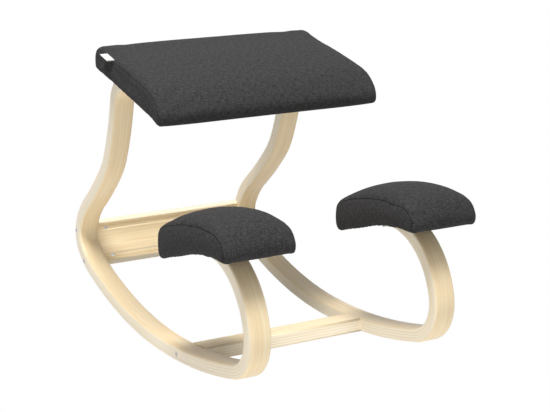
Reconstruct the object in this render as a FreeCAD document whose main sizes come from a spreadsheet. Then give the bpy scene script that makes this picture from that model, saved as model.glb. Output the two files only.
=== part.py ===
import FreeCAD, Part
import math
import os
from collections import namedtuple

import Sketcher

# Rocking kneeling chair. Millimetres, +Z up, the sitter faces -Y, the sitter's right hand is at -X.
# The origin is on the floor under the middle of the whole chair.

# Driving dimensions, kept in the spreadsheet
SIZES = {
    # runners: two bent laminated strips, one at each side
    "frame_half_width": 193.2,
    "runner_width": 38.4,
    "runner_thickness": 24.5,
    "edge_rounding": 4.0,
    "arm_length": 135.0,
    # rear crossbar: a curved board, flush with the back of the runners
    "rear_bar_thickness": 14.0,
    "rear_bar_start": 303.0,
    "rear_bar_length": 87.0,
    "rear_bar_rounding": 3.5,
    "rear_bolt_inset": 13.0,
    # front crossbar: as thick as the runners
    "front_bar_start": -137.0,
    "front_bar_length": 49.0,
    "front_bolt_inset": 12.0,
    "front_dowel_inset": 12.0,
    # connector bolts, barrel nuts and dowels
    "connector_radius": 2.5,
    "connector_head_radius": 5.0,
    "connector_head_height": 3.2,
    "connector_sink": 0.3,
    "connector_socket_radius": 2.0,
    "connector_socket_depth": 2.2,
    "barrel_radius": 4.0,
    "barrel_setback": 21.0,
    "barrel_sink": 1.0,
    "barrel_wall": 1.0,
    "barrel_slot": 1.2,
    "connector_past_barrel": 3.0,
    "dowel_radius": 4.0,
    "dowel_length": 30.0,
    "drill_clearance": 0.15,
    # mounting screws of the seat and the knee pads, their washers and T-nuts
    "screw_radius": 3.0,
    "screw_head_radius": 5.7,
    "screw_head_height": 3.3,
    "screw_socket_radius": 2.3,
    "screw_socket_depth": 2.0,
    "washer_radius": 7.0,
    "washer_thickness": 1.2,
    "tee_barrel_radius": 4.2,
    "tee_barrel_length": 8.0,
    "tee_flange_radius": 9.0,
    "tee_flange_thickness": 1.2,
    "screw_short_of_top": 1.0,
    # seat board: moulded plywood that lies on the arms
    "seat_board_thickness": 12.0,
    "seat_board_overhang": 9.8,
    "seat_board_corner": 26.0,
    "seat_rear_overhang": 34.0,
    "seat_screw_inset": 30.0,
    "seat_screw_spacing": 75.0,
    # seat cushion
    "seat_padding": 12.5,
    "seat_crown": 7.0,
    "seat_crown_fullness": 2.0,
    "seat_draw_in": 2.0,
    # knee boards: moulded plywood arches on the ends of the runners
    "knee_board_thickness": 11.0,
    "knee_board_half_width": 53.0,
    "knee_board_corner": 16.0,
    "knee_board_length": 221.0,
    "knee_rear_overhang": 32.6,
    "knee_screw_inset": 9.0,
    "knee_screw_spacing": 20.0,
    # knee cushions
    "knee_padding": 12.0,
    "knee_crown": 9.0,
    "knee_crown_fullness": 6.0,
    "knee_inward_shift": 3.0,
    "knee_draw_in": 1.0,
    # upholstery
    "lining_space": 0.8,
    "lining_thickness": 0.5,
    "lining_margin": 2.0,
    "cover_thickness": 1.4,
    "soft_clearance": 0.3,
    "lower_edge_radius": 5.0,
    "upper_edge_radius": 9.0,
    # blank cloth tab in the seat's side seam
    "tab_length": 31.0,
    "tab_width": 12.0,
    "tab_thickness": 1.0,
    "tab_from_rear": 61.0,
    "tab_height": 34.0,
    "tab_below_top": 3.0,
}

# Bends of the runner's centreline, walked away from the point that stands on the floor.
# Each has a radius and a turn in degrees. A negative radius bends back the other way.
FRONT_BENDS = (
    ("front_rocker", 1131.0, 15.7),
    ("toe", 66.7, 84.6),
    ("front_bow", 129.6, 91.7),
    ("knee_seat", 522.0, 3.3),
)
REAR_BENDS = (
    ("rear_rocker", 803.0, 20.2),
    ("lower_heel", 143.0, 22.6),
    ("heel", 41.3, 73.8),
    ("upper_heel", 153.0, 25.3),
    ("lower_back", -743.0, 8.6),
    ("waist", -141.0, 17.5),
    ("upper_back", -482.0, 14.0),
    ("shoulder", 44.5, 90.5),
)
# Bends of the seat board, walked from the level part towards each end
SEAT_BOARD_BENDS = (
    ("seat_tail", -500.0, 5.1),
    ("seat_nose", 200.0, 10.0),
)

# Cross sections of the cushions: the place along the board, measured from its rear end or its front
# end, then the height of the underside and of the top's side edge above the underside of the board,
# then how much narrower the cushion is there.
SEAT_REAR_SECTIONS = (
    (-12.8, 2.7, 11.7, 9.0),
    (-10.5, -4.6, 21.5, 4.5),
    (-5.0, -8.4, 29.3, 1.0),
    (5.0, -8.4, 35.0, 0.0),
    (22.0, -8.2, 36.0, 0.0),
    (45.0, -7.8, 36.0, 0.0),
    (76.0, -7.5, 37.5, 0.7),
)
SEAT_FRONT_SECTIONS = (
    (138.0, -7.5, 40.0, 1.0),
    (107.0, -7.5, 41.2, 1.0),
    (80.0, -7.5, 41.4, 0.7),
    (53.0, -7.5, 40.9, 0.3),
    (30.0, -7.0, 39.3, 0.0),
    (12.0, -6.5, 37.4, 0.0),
    (-1.0, -6.8, 33.0, 0.0),
    (-11.8, -7.5, 27.0, 1.0),
    (-18.3, -3.5, 21.0, 3.5),
    (-21.5, 8.0, 17.5, 8.0),
)
KNEE_REAR_SECTIONS = (
    (-21.0, -2.0, 9.0, 9.0),
    (-18.5, -10.3, 17.0, 5.0),
    (-13.5, -19.0, 24.5, 2.0),
    (-5.0, -26.0, 29.0, 0.3),
    (7.5, -25.8, 31.2, 0.0),
    (35.5, -25.3, 34.3, 0.0),
    (69.5, -23.0, 36.3, 0.0),
)
KNEE_FRONT_SECTIONS = (
    (116.0, -16.8, 37.8, 0.0),
    (81.0, -11.5, 38.8, 0.0),
    (46.0, -8.0, 38.3, 0.0),
    (22.0, -6.1, 37.0, 0.0),
    (6.0, -5.0, 33.5, 0.0),
    (-2.0, -4.3, 28.0, 0.5),
    (-8.0, -3.8, 21.0, 2.0),
    (-11.5, 1.5, 15.5, 4.5),
    (-13.0, 5.5, 11.5, 7.0),
)

# The lengths of board for which the cross sections are drawn. Between the ends, the places stretch
# with the board.
SEAT_DRAWN_LENGTH = 248.413
KNEE_DRAWN_LENGTH = 221.0

# How far a cutter runs past the face that it starts from or comes out of
PAST = 1.0
# How far the cutter of a cushion's hollow reaches below the underside of the board
HOLLOW_REACH = 60.0
# The most of a cushion's height that one of its rounded edges takes
EDGE_SHARE = 0.42
# How many points of the runner's path are looked at to find its ends along Y
PATH_STEPS = 4000
# Lengths below this are taken as nothing
TINY = 1e-4

Bend = namedtuple("Bend", "radius length")
Span = namedtuple("Span", "point heading radius length")
Cushion = namedtuple("Cushion", "name board_widths path length drawn_length rear front")

doc = FreeCAD.newDocument("kneeling_chair")
sheet = doc.addObject("Spreadsheet::Sheet", "Sizes")
nodes = []


def fill_sheet():
    """Writes every driving dimension into the sheet, one row each."""
    rows = dict(SIZES)
    for name, radius, turn in FRONT_BENDS + REAR_BENDS + SEAT_BOARD_BENDS:
        rows[name + "_radius"] = radius
        rows[name + "_turn"] = turn
    for row, (name, value) in enumerate(rows.items(), start=1):
        sheet.set("A%d" % row, name)
        sheet.set("B%d" % row, str(value))
        sheet.setAlias("B%d" % row, name)
    doc.recompute()


def size(name):
    """A driving dimension, read back from the sheet."""
    return float(sheet.get(name))


def arc_bend(name):
    """A bend whose radius and turn are in the sheet."""
    radius = size(name + "_radius")
    return Bend(radius, abs(radius) * math.radians(size(name + "_turn")))


# Paths in the side plane, where a point is (y, z) and a heading is an angle from +Y towards +Z
def advance(point, heading, radius, distance):
    """The point and heading that lie a distance further on along one bend."""
    if radius == 0:
        return (point[0] + distance * math.cos(heading),
                point[1] + distance * math.sin(heading)), heading
    turned = heading + distance / radius
    return (point[0] + radius * (math.sin(turned) - math.sin(heading)),
            point[1] - radius * (math.cos(turned) - math.cos(heading))), turned


def walk(point, heading, bends):
    """Spans that follow one another tangentially. A positive radius turns left."""
    spans = []
    for bend in bends:
        spans.append(Span(point, heading, bend.radius, bend.length))
        point, heading = advance(point, heading, bend.radius, bend.length)
    return spans


def total_length(spans):
    """The length of a path."""
    return sum(span.length for span in spans)


def place(spans, distance, offset=0.0):
    """The point at a distance along a path, moved to its right by the offset, and the heading."""
    remaining = distance
    for span in spans[:-1]:
        if remaining <= span.length:
            break
        remaining -= span.length
    else:
        span = spans[-1]
    radius = span.radius
    if remaining < 0 or remaining > span.length:
        edge = 0.0 if remaining < 0 else span.length
        start, heading = advance(span.point, span.heading, radius, edge)
        point, heading = advance(start, heading, 0, remaining - edge)
    else:
        point, heading = advance(span.point, span.heading, radius, remaining)
    return (point[0] + offset * math.sin(heading), point[1] - offset * math.cos(heading)), heading


def strip(spans, start, end, outer, inner):
    """The closed outline of a strip along part of a path, as (start, through, end) curves."""
    cuts = [start]
    along = 0.0
    for span in spans:
        along += span.length
        if start < along - 1e-6 and along < end - 1e-6:
            cuts.append(along)
    cuts.append(end)
    legs = list(zip(cuts, cuts[1:]))
    there = [curve_between(spans, first, last, outer) for first, last in legs]
    back = [curve_between(spans, last, first, inner) for first, last in reversed(legs)]
    return there + [(there[-1][2], None, back[0][0])] + back + [(back[-1][2], None, there[0][0])]


def curve_between(spans, first, last, offset):
    """The start, middle and end of the curve beside one span between two distances."""
    nudge = 1e-9 if last > first else -1e-9
    return (place(spans, first + nudge, offset)[0],
            place(spans, (first + last) / 2, offset)[0],
            place(spans, last - nudge, offset)[0])


def is_straight(one, middle, two):
    """Whether three points lie on one line, to a thousandth of a millimetre."""
    along = (two[0] - one[0], two[1] - one[1])
    to_middle = (middle[0] - one[0], middle[1] - one[1])
    length = math.hypot(*along)
    return abs(along[0] * to_middle[1] - along[1] * to_middle[0]) / length < 1e-3


def turns_right(one, middle, two):
    """Whether the arc through three points runs clockwise."""
    return ((middle[0] - one[0]) * (two[1] - one[1])
            - (middle[1] - one[1]) * (two[0] - one[0])) < 0


# Building blocks of the bodies
def new_body(label):
    """An empty body that carries a node's name."""
    body = doc.addObject("PartDesign::Body", label)
    body.Label = label
    return body


def origin_plane(body, role):
    """One of a body's own origin planes."""
    return next(item for item in body.Origin.OriginFeatures if item.Role == role)


def new_sketch(body, name, role, offset=0.0):
    """An empty sketch on one of the body's origin planes, moved along its normal."""
    sketch = body.newObject("Sketcher::SketchObject", name)
    sketch.AttachmentSupport = (origin_plane(body, role), [""])
    sketch.MapMode = "FlatFace"
    sketch.AttachmentOffset = FreeCAD.Placement(FreeCAD.Vector(0, 0, offset), FreeCAD.Rotation())
    return sketch


def draw(sketch, curves):
    """Draws a closed outline and ties each curve's end to the start of the next."""
    geometry = []
    tips = []
    for one, middle, two in curves:
        if middle is None or is_straight(one, middle, two):
            geometry.append(Part.LineSegment(FreeCAD.Vector(*one, 0), FreeCAD.Vector(*two, 0)))
            tips.append((1, 2))
        elif turns_right(one, middle, two):
            geometry.append(Part.Arc(*[FreeCAD.Vector(*p, 0) for p in (two, middle, one)]))
            tips.append((2, 1))
        else:
            geometry.append(Part.Arc(*[FreeCAD.Vector(*p, 0) for p in (one, middle, two)]))
            tips.append((1, 2))
    sketch.addGeometry(geometry, False)
    count = len(geometry)
    for index in range(count):
        after = (index + 1) % count
        sketch.addConstraint(Sketcher.Constraint(
            "Coincident", index, tips[index][1], after, tips[after][0]))


def pad(body, curves, length, symmetric=False):
    """Pads an outline in the side plane across the chair."""
    sketch = new_sketch(body, "Outline", "YZ_Plane")
    draw(sketch, curves)
    feature = body.newObject("PartDesign::Pad", "Pad")
    feature.Profile = sketch
    if symmetric:
        feature.SideType = "Symmetric"
    feature.setExpression("Length", length)
    doc.recompute()
    return feature


def pocket_across(body, curves, length):
    """Cuts an outline in the side plane out of a body, to both sides of the middle."""
    sketch = new_sketch(body, "Cut", "YZ_Plane")
    draw(sketch, curves)
    before = body.Shape.Volume
    feature = body.newObject("PartDesign::Pocket", "Pocket")
    feature.Profile = sketch
    feature.SideType = "Symmetric"
    feature.setExpression("Length", length)
    doc.recompute()
    assert body.Shape.Volume < before - 1, body.Label + ": the pocket cuts nothing"
    return feature


def round_edges(body, radius, chosen):
    """Fillets the edges for which chosen is true."""
    tip = body.Tip
    names = ["Edge%d" % (index + 1) for index, edge in enumerate(tip.Shape.Edges) if chosen(edge)]
    feature = body.newObject("PartDesign::Fillet", "Fillet")
    feature.Base = (tip, names)
    feature.setExpression("Radius", radius)
    doc.recompute()
    return feature


def runs_across(edge):
    """Whether an edge is a straight one parallel to X."""
    box = edge.BoundBox
    return box.XLength > 1 and box.YLength < TINY and box.ZLength < TINY


def runs_along(edge):
    """Whether an edge is one of a runner's long ones, and not one of those at its sawn ends."""
    at_end = abs(edge.Length - size("runner_thickness")) < 10 * TINY
    return edge.BoundBox.XLength < TINY and not at_end


def drill(body, point, direction, radius, depth):
    """Bores a round hole that starts at a point and runs along a direction."""
    before = body.Shape.Volume
    feature = body.newObject("PartDesign::SubtractiveCylinder", "Bore")
    feature.MapMode = "Deactivated"
    feature.Placement = FreeCAD.Placement(
        FreeCAD.Vector(*point), FreeCAD.Rotation(FreeCAD.Vector(0, 0, 1), FreeCAD.Vector(*direction)))
    feature.setExpression("Radius", radius)
    feature.Height = depth
    doc.recompute()
    assert body.Shape.Volume < before, body.Label + ": a bore cuts nothing"
    return feature


def cylinder(radius, height, base=0.0):
    """A cylinder on the Z axis whose radius is bound to the sheet."""
    feature = doc.addObject("Part::Cylinder", "Cylinder")
    feature.setExpression("Radius", radius)
    feature.Height = height
    feature.Placement.Base.z = base
    return feature


def hexagon(radius, height, base):
    """A hexagonal prism on the Z axis."""
    feature = doc.addObject("Part::Prism", "Socket")
    feature.Polygon = 6
    feature.setExpression("Circumradius", radius)
    feature.Height = height
    feature.Placement.Base.z = base
    return feature


def join(*features):
    """One solid made of several that touch."""
    feature = doc.addObject("Part::MultiFuse", "Fuse")
    feature.Shapes = list(features)
    return feature


def cut(base, tool):
    """One solid less another."""
    feature = doc.addObject("Part::Cut", "Cut")
    feature.Base = base
    feature.Tool = tool
    return feature


def put(feature, point, direction):
    """Moves a feature that was made on the Z axis to its place."""
    turn = FreeCAD.Rotation(FreeCAD.Vector(0, 0, 1), FreeCAD.Vector(*direction))
    feature.Placement = FreeCAD.Placement(FreeCAD.Vector(*point), turn).multiply(feature.Placement)
    return feature


def group(label, features):
    """Identical pieces that share one node."""
    feature = doc.addObject("Part::Compound", label)
    feature.Label = label
    feature.Links = features
    nodes.append(feature)
    return feature


def add_mirrored(label, source):
    """The same piece at the other side of the chair."""
    feature = doc.addObject("Part::Mirroring", label)
    feature.Label = label
    feature.Source = source
    feature.Normal = (1, 0, 0)
    nodes.append(feature)


def add_pair(name, body):
    """Moves a body over the runner at the sitter's right and mirrors it to the other runner."""
    body.setExpression("Placement.Base.x", "Sizes.runner_width / 2 - Sizes.frame_half_width"
                       " + Sizes.knee_inward_shift")
    nodes.append(body)
    add_mirrored("left_" + name, body)


fill_sheet()

# The path of a runner's centreline, from its end under the knee pad to its end under the seat
half_thickness = size("runner_thickness") / 2
front_bends = [arc_bend(name) for name, _, _ in FRONT_BENDS]
rear_bends = [arc_bend(name) for name, _, _ in REAR_BENDS]
contact_distance = sum(bend.length for bend in front_bends)
mirrored_front = walk((0.0, half_thickness), 0.0, front_bends)
(front_reach, knee_height), knee_heading = place(mirrored_front, contact_distance)


def runner_spans(contact):
    """The centreline of a runner that stands on the floor at a given place along Y."""
    return walk((contact - front_reach, knee_height), -knee_heading,
                front_bends[::-1] + rear_bends + [Bend(0, size("arm_length"))])


def centred_contact():
    """Where a runner must stand for its front and its back to be equally far from the origin."""
    spans = runner_spans(0.0)
    reaches = [place(spans, total_length(spans) * step / PATH_STEPS, half_thickness)[0][0]
               for step in range(PATH_STEPS + 1)]
    return -(min(reaches) + max(reaches)) / 2


runner_path = runner_spans(centred_contact())
runner_length = total_length(runner_path)

# The path of the seat board's underside, from its rear end to its front end
lining = size("lining_space")
arm_start = runner_length - size("arm_length")
arm_top, arm_heading = place(runner_path, arm_start, half_thickness + lining)
level_rear = (arm_top[0] - size("seat_rear_overhang") * math.cos(arm_heading),
              arm_top[1] - size("seat_rear_overhang") * math.sin(arm_heading))
tail_bend = arc_bend("seat_tail")
tail = walk(level_rear, arm_heading + math.pi, [tail_bend])
tail_end, tail_heading = place(tail, tail_bend.length)
seat_path = walk(tail_end, tail_heading + math.pi, [
    Bend(-tail_bend.radius, tail_bend.length),
    Bend(0, size("seat_rear_overhang") + size("arm_length")),
    arc_bend("seat_nose"),
])
seat_length = total_length(seat_path)

# The path of a knee board's underside, concentric with the end of the runner
knee_radius = size("knee_seat_radius") + half_thickness + lining
knee_end, knee_end_heading = place(runner_path, 0.0, half_thickness + lining)
overhang = walk(knee_end, knee_end_heading + math.pi, [Bend(-knee_radius, size("knee_rear_overhang"))])
knee_rear, knee_rear_heading = place(overhang, size("knee_rear_overhang"))
knee_path = walk(knee_rear, knee_rear_heading + math.pi, [Bend(knee_radius, size("knee_board_length"))])
knee_length = total_length(knee_path)

outer_x = size("frame_half_width")
inner_x = outer_x - size("runner_width")
runner_x = outer_x - size("runner_width") / 2
clearance = size("drill_clearance")


def in_space(x, point):
    """A point of the side plane at a distance from the middle plane."""
    return (x, point[0], point[1])


def outwards(heading, sign=1):
    """The direction to the right of a heading, as a vector in space."""
    return (0.0, sign * math.sin(heading), -sign * math.cos(heading))


def board_half_width(cushion):
    """Half the width of a cushion's board, as an expression on the sheet."""
    return " + ".join("Sizes." + name for name in cushion.board_widths)


def cushion_half_width(cushion):
    """Half the width of a cushion: its board and the padding beside it."""
    return sum(size(name) for name in cushion.board_widths) + size(cushion.name + "_padding")


# Places of the connectors, as distances along the runner's path with their depth in the thickness
rear_bar_offset = half_thickness - size("rear_bar_thickness") / 2
rear_start = contact_distance + size("rear_bar_start")
rear_end = rear_start + size("rear_bar_length")
rear_bolts = [rear_start + size("rear_bolt_inset"), rear_end - size("rear_bolt_inset")]
front_start = contact_distance + size("front_bar_start")
front_end = front_start + size("front_bar_length")
front_bolt = front_end - size("front_bolt_inset")
front_dowel = front_start + size("front_dowel_inset")
seat_screws = [arm_start + size("seat_screw_inset"),
               arm_start + size("seat_screw_inset") + size("seat_screw_spacing")]
knee_screws = [size("knee_screw_inset"), size("knee_screw_inset") + size("knee_screw_spacing")]
connector_seat = size("connector_head_height") + size("connector_sink")


def make_runner():
    """The bent runner at the sitter's right, with the bores for its fasteners."""
    body = new_body("right_runner")
    pad(body, strip(runner_path, 0.0, runner_length, half_thickness, -half_thickness),
        "Sizes.runner_width")
    round_edges(body, "Sizes.edge_rounding", runs_along)
    connectors = [(distance, rear_bar_offset) for distance in rear_bolts] + [(front_bolt, 0.0)]
    for distance, offset in connectors:
        point = in_space(0, place(runner_path, distance, offset)[0])
        drill(body, point, (1, 0, 0), "Sizes.connector_radius + Sizes.drill_clearance",
              size("runner_width"))
        drill(body, point, (1, 0, 0), "Sizes.connector_head_radius + Sizes.drill_clearance",
              connector_seat)
    dowel_depth = size("dowel_length") / 2 + size("soft_clearance")
    dowel_point = in_space(size("runner_width") - dowel_depth, place(runner_path, front_dowel)[0])
    drill(body, dowel_point, (1, 0, 0), "Sizes.dowel_radius + Sizes.drill_clearance", dowel_depth)
    for distance in seat_screws + knee_screws:
        point, heading = place(runner_path, distance, -half_thickness - PAST)
        drill(body, in_space(size("runner_width") / 2, point), outwards(heading),
              "Sizes.screw_radius + Sizes.drill_clearance", size("runner_thickness") + 2 * PAST)
    body.setExpression("Placement.Base.x", "-Sizes.frame_half_width")
    nodes.append(body)
    return body


def make_rear_crossbar():
    """The curved board between the heels of the runners."""
    body = new_body("rear_crossbar")
    inner = half_thickness - size("rear_bar_thickness")
    pad(body, strip(runner_path, rear_start, rear_end, half_thickness, inner),
        "2 * (Sizes.frame_half_width - Sizes.runner_width)", symmetric=True)
    tips = [place(runner_path, distance, offset)[0]
            for distance in (rear_start, rear_end) for offset in (half_thickness, inner)]
    round_edges(body, "Sizes.rear_bar_rounding",
                lambda edge: runs_across(edge) and is_near(edge, tips))
    nut_length = rear_nut_length()
    for distance in rear_bolts:
        middle = place(runner_path, distance, rear_bar_offset)[0]
        mouth, heading = place(runner_path, distance, inner - PAST)
        for side in (-1, 1):
            drill(body, in_space(side * inner_x, middle), (-side, 0, 0),
                  "Sizes.connector_radius + Sizes.drill_clearance", bolt_reach() + PAST)
            drill(body, in_space(side * (inner_x - size("barrel_setback")), mouth),
                  outwards(heading), "Sizes.barrel_radius + Sizes.drill_clearance",
                  PAST + size("barrel_sink") + nut_length)
    nodes.append(body)


def is_near(edge, points):
    """Whether an edge that runs across the chair passes through one of the side plane's points."""
    middle = edge.CenterOfMass
    return any(math.hypot(middle.y - y, middle.z - z) < 0.5 for y, z in points)


def make_front_crossbar():
    """The straight board between the rockers, flush with them above and below."""
    body = new_body("front_crossbar")
    pad(body, strip(runner_path, front_start, front_end, half_thickness, -half_thickness),
        "2 * (Sizes.frame_half_width - Sizes.runner_width)", symmetric=True)
    tips = [place(runner_path, distance, offset)[0]
            for distance in (front_start, front_end) for offset in (half_thickness, -half_thickness)]
    round_edges(body, "Sizes.edge_rounding", lambda edge: runs_across(edge) and is_near(edge, tips))
    bolt_middle = place(runner_path, front_bolt)[0]
    mouth, heading = place(runner_path, front_bolt, half_thickness + PAST)
    dowel_middle = place(runner_path, front_dowel)[0]
    dowel_depth = size("dowel_length") / 2 + size("soft_clearance")
    for side in (-1, 1):
        drill(body, in_space(side * inner_x, bolt_middle), (-side, 0, 0),
              "Sizes.connector_radius + Sizes.drill_clearance", bolt_reach() + PAST)
        drill(body, in_space(side * (inner_x - size("barrel_setback")), mouth),
              outwards(heading, -1), "Sizes.barrel_radius + Sizes.drill_clearance",
              PAST + size("barrel_sink") + front_nut_length())
        drill(body, in_space(side * inner_x, dowel_middle), (-side, 0, 0),
              "Sizes.dowel_radius + Sizes.drill_clearance", dowel_depth)
    nodes.append(body)


def bolt_reach():
    """How far a connector bolt reaches into a crossbar."""
    return size("barrel_setback") + size("barrel_radius") + size("connector_past_barrel")


def rear_nut_length():
    """The rear crossbar's barrel nuts stop a wall short of its far face."""
    return size("rear_bar_thickness") - size("barrel_sink") - size("barrel_wall")


def front_nut_length():
    """The front crossbar's barrel nuts reach as far past the bolt as they start before it."""
    return size("runner_thickness") - 2 * (size("barrel_sink") + size("barrel_wall"))


def connector_bolt(length):
    """A flat-headed connector bolt with a hexagon socket, its head on the Z axis at the origin."""
    head = size("connector_head_height")
    body = join(cylinder("Sizes.connector_head_radius", head),
                cylinder("Sizes.connector_radius", length, head))
    return cut(body, hexagon("Sizes.connector_socket_radius",
                             size("connector_socket_depth") + PAST, -PAST))


def make_connectors():
    """The bolts through the runners, and the barrel nuts that they screw into."""
    length = size("runner_width") - connector_seat + bolt_reach()
    layouts = (
        ("rear_crossbar_bolts", "rear_barrel_nuts", rear_bolts, rear_bar_offset,
         half_thickness - size("rear_bar_thickness"), 1, rear_nut_length()),
        ("front_crossbar_bolts", "front_barrel_nuts", [front_bolt], 0.0,
         half_thickness, -1, front_nut_length()),
    )
    for bolt_label, nut_label, distances, offset, mouth_offset, inwards, nut_length in layouts:
        bolts = []
        nuts = []
        for distance in distances:
            middle = place(runner_path, distance, offset)[0]
            sunk = mouth_offset + inwards * size("barrel_sink")
            mouth, heading = place(runner_path, distance, sunk)
            for side in (-1, 1):
                start = side * (outer_x - size("connector_sink"))
                bolts.append(put(connector_bolt(length), in_space(start, middle), (-side, 0, 0)))
                x = side * (inner_x - size("barrel_setback"))
                nut = put(cylinder("Sizes.barrel_radius", nut_length),
                          in_space(x, mouth), outwards(heading, inwards))
                thread = put(cylinder("Sizes.connector_radius + Sizes.drill_clearance / 2",
                                      4 * size("barrel_radius")),
                             in_space(x + side * 2 * size("barrel_radius"), middle), (-side, 0, 0))
                slot = put(screwdriver_slot(), in_space(x, mouth), outwards(heading, inwards))
                nuts.append(cut(cut(nut, thread), slot))
        group(bolt_label, bolts)
        group(nut_label, nuts)


def screwdriver_slot():
    """The cutter of the slot across the end of a barrel nut, centred on the Z axis."""
    across = 2 * (size("barrel_radius") + PAST)
    width = size("barrel_slot")
    slot = doc.addObject("Part::Box", "Slot")
    slot.Length = across
    slot.Width = width
    slot.Height = 2 * width
    slot.Placement.Base = FreeCAD.Vector(-across / 2, -width / 2, -width)
    return slot


def make_dowels():
    """The wooden pins that keep the front crossbar from turning."""
    middle = place(runner_path, front_dowel)[0]
    half = size("dowel_length") / 2
    group("front_dowels", [
        put(cylinder("Sizes.dowel_radius", size("dowel_length")),
            in_space(side * (inner_x + half), middle), (-side, 0, 0)) for side in (-1, 1)])


def make_board(label, cushion, screws, sides):
    """A moulded plywood board with rounded corners and the bores for its T-nuts."""
    body = new_body(label)
    thickness = size(cushion.name + "_board_thickness")
    pad(body, strip(cushion.path, 0.0, cushion.length, thickness, 0.0),
        "2 * (%s)" % board_half_width(cushion), symmetric=True)
    round_edges(body, "Sizes.%s_board_corner" % cushion.name,
                lambda edge: is_upright(edge, thickness))
    recess = size("tee_flange_thickness") + size("soft_clearance")
    for distance in screws:
        below, heading = place(runner_path, distance, half_thickness + lining - PAST)
        flange, _ = place(runner_path, distance, half_thickness + lining + thickness - recess)
        for x in sides:
            drill(body, in_space(x, below), outwards(heading),
                  "Sizes.tee_barrel_radius + Sizes.drill_clearance", thickness + 2 * PAST)
            drill(body, in_space(x, flange), outwards(heading),
                  "Sizes.tee_flange_radius + Sizes.drill_clearance", 2 * recess)
    return body


def is_upright(edge, thickness):
    """Whether an edge is one of the four short ones at the corners of a board."""
    return edge.BoundBox.XLength < TINY and abs(edge.Length - thickness) < 10 * TINY


def section(low, top, half_width, crown):
    """The outline of a cushion across the chair: flat below, round-edged, crowned on top."""
    room = EDGE_SHARE * (top - low)
    lower = min(size("lower_edge_radius"), room)
    upper = min(size("upper_edge_radius"), room)
    lower_slip = lower * (1 - math.sqrt(0.5))
    upper_slip = upper * (1 - math.sqrt(0.5))
    right = [
        ((half_width - lower, low), (half_width - lower_slip, low + lower_slip),
         (half_width, low + lower)),
        ((half_width, low + lower), None, (half_width, top - upper)),
        ((half_width, top - upper), (half_width - upper_slip, top - upper_slip),
         (half_width - upper, top)),
    ]
    left = [((-two[0], two[1]), through and (-through[0], through[1]), (-one[0], one[1]))
            for one, through, two in reversed(right)]
    base = [((-half_width + lower, low), None, (half_width - lower, low))]
    top_arc = [((half_width - upper, top), (0.0, top + crown), (-half_width + upper, top))]
    return base + right + top_arc + left


def along(place_from_end, stretch):
    """A cross section's place, which stretches with the board unless it is past the board's end."""
    return place_from_end * stretch if place_from_end > 0 else place_from_end


def cushion_sections(cushion, inset):
    """The outlines of a cushion, shrunk by the inset all round, each with its place along Y."""
    prefix = cushion.name + "_"
    stretch = cushion.length / cushion.drawn_length
    rows = [(along(row[0], stretch),) + row[1:] for row in cushion.rear]
    rows += [(cushion.length - along(row[0], stretch),) + row[1:] for row in cushion.front]
    first = place(cushion.path, rows[0][0])[0][0]
    last = place(cushion.path, rows[-1][0])[0][0]
    centre = (first + last) / 2
    reach = (first - last) / 2
    outlines = []
    for distance, low, top, narrower in rows:
        y, z = place(cushion.path, distance)[0]
        from_centre = abs(y - centre) / reach
        draw_in = size(prefix + "draw_in") * (1 - from_centre ** 2)
        crown = size(prefix + "crown") * (1 - from_centre ** size(prefix + "crown_fullness"))
        half_width = cushion_half_width(cushion) - narrower - draw_in - inset
        outline = section(z + low + inset, z + top - inset, half_width, crown)
        outlines.append((centre + (y - centre) * (1 - inset / reach), outline))
    return outlines


def loft(body, kind, name, outlines):
    """Lofts straight from one outline to the next."""
    sketches = []
    for index, (y, outline) in enumerate(outlines):
        sketch = new_sketch(body, "%s%02d" % (name, index), "XZ_Plane", -y)
        draw(sketch, outline)
        sketches.append(sketch)
    feature = body.newObject(kind, name)
    feature.Profile = sketches[0]
    feature.Sections = sketches[1:]
    feature.Ruled = True
    doc.recompute()
    return feature


def hollow_out(body, cushion):
    """Cuts away the space under a cushion where its board lies."""
    gap = size("soft_clearance")
    outline = strip(cushion.path, -gap, cushion.length + gap,
                    size(cushion.name + "_board_thickness") + gap, -HOLLOW_REACH)
    pocket_across(body, outline, "2 * (%s + Sizes.soft_clearance)" % board_half_width(cushion))


def make_foam(label, cushion):
    """The foam of a cushion, which wraps the edges of its board."""
    body = new_body(label)
    inset = size("cover_thickness") + size("soft_clearance")
    loft(body, "PartDesign::AdditiveLoft", "Foam", cushion_sections(cushion, inset))
    hollow_out(body, cushion)
    return body


def make_cover(label, cushion):
    """The sewn cloth cover round the foam, open below where the board lies."""
    body = new_body(label)
    loft(body, "PartDesign::AdditiveLoft", "Outside", cushion_sections(cushion, 0.0))
    loft(body, "PartDesign::SubtractiveLoft", "Inside",
         cushion_sections(cushion, size("cover_thickness")))
    hollow_out(body, cushion)
    return body


def make_lining(label, cushion, screws, sides):
    """The thin black cloth between a board and the runners."""
    body = new_body(label)
    margin = size("lining_margin")
    top = -(lining - size("lining_thickness")) / 2
    pad(body, strip(cushion.path, margin, cushion.length - margin,
                    top, top - size("lining_thickness")),
        "2 * (%s - Sizes.lining_margin)" % board_half_width(cushion), symmetric=True)
    for distance in screws:
        below, heading = place(runner_path, distance, half_thickness - PAST)
        for x in sides:
            drill(body, in_space(x, below), outwards(heading),
                  "Sizes.screw_radius + Sizes.drill_clearance", lining + 2 * PAST)
    return body


def mounting_screw(length):
    """A button-headed screw with a hexagon socket, its head below the origin on the Z axis."""
    head = size("screw_head_height")
    body = join(cylinder("Sizes.screw_head_radius", head, -head),
                cylinder("Sizes.screw_radius", length))
    return cut(body, hexagon("Sizes.screw_socket_radius", size("screw_socket_depth") + PAST,
                             -head - PAST))


def washer():
    """A plain washer on the Z axis."""
    thickness = size("washer_thickness")
    return cut(cylinder("Sizes.washer_radius", thickness),
               cylinder("Sizes.screw_radius + Sizes.drill_clearance", thickness + 2 * PAST, -PAST))


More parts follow.
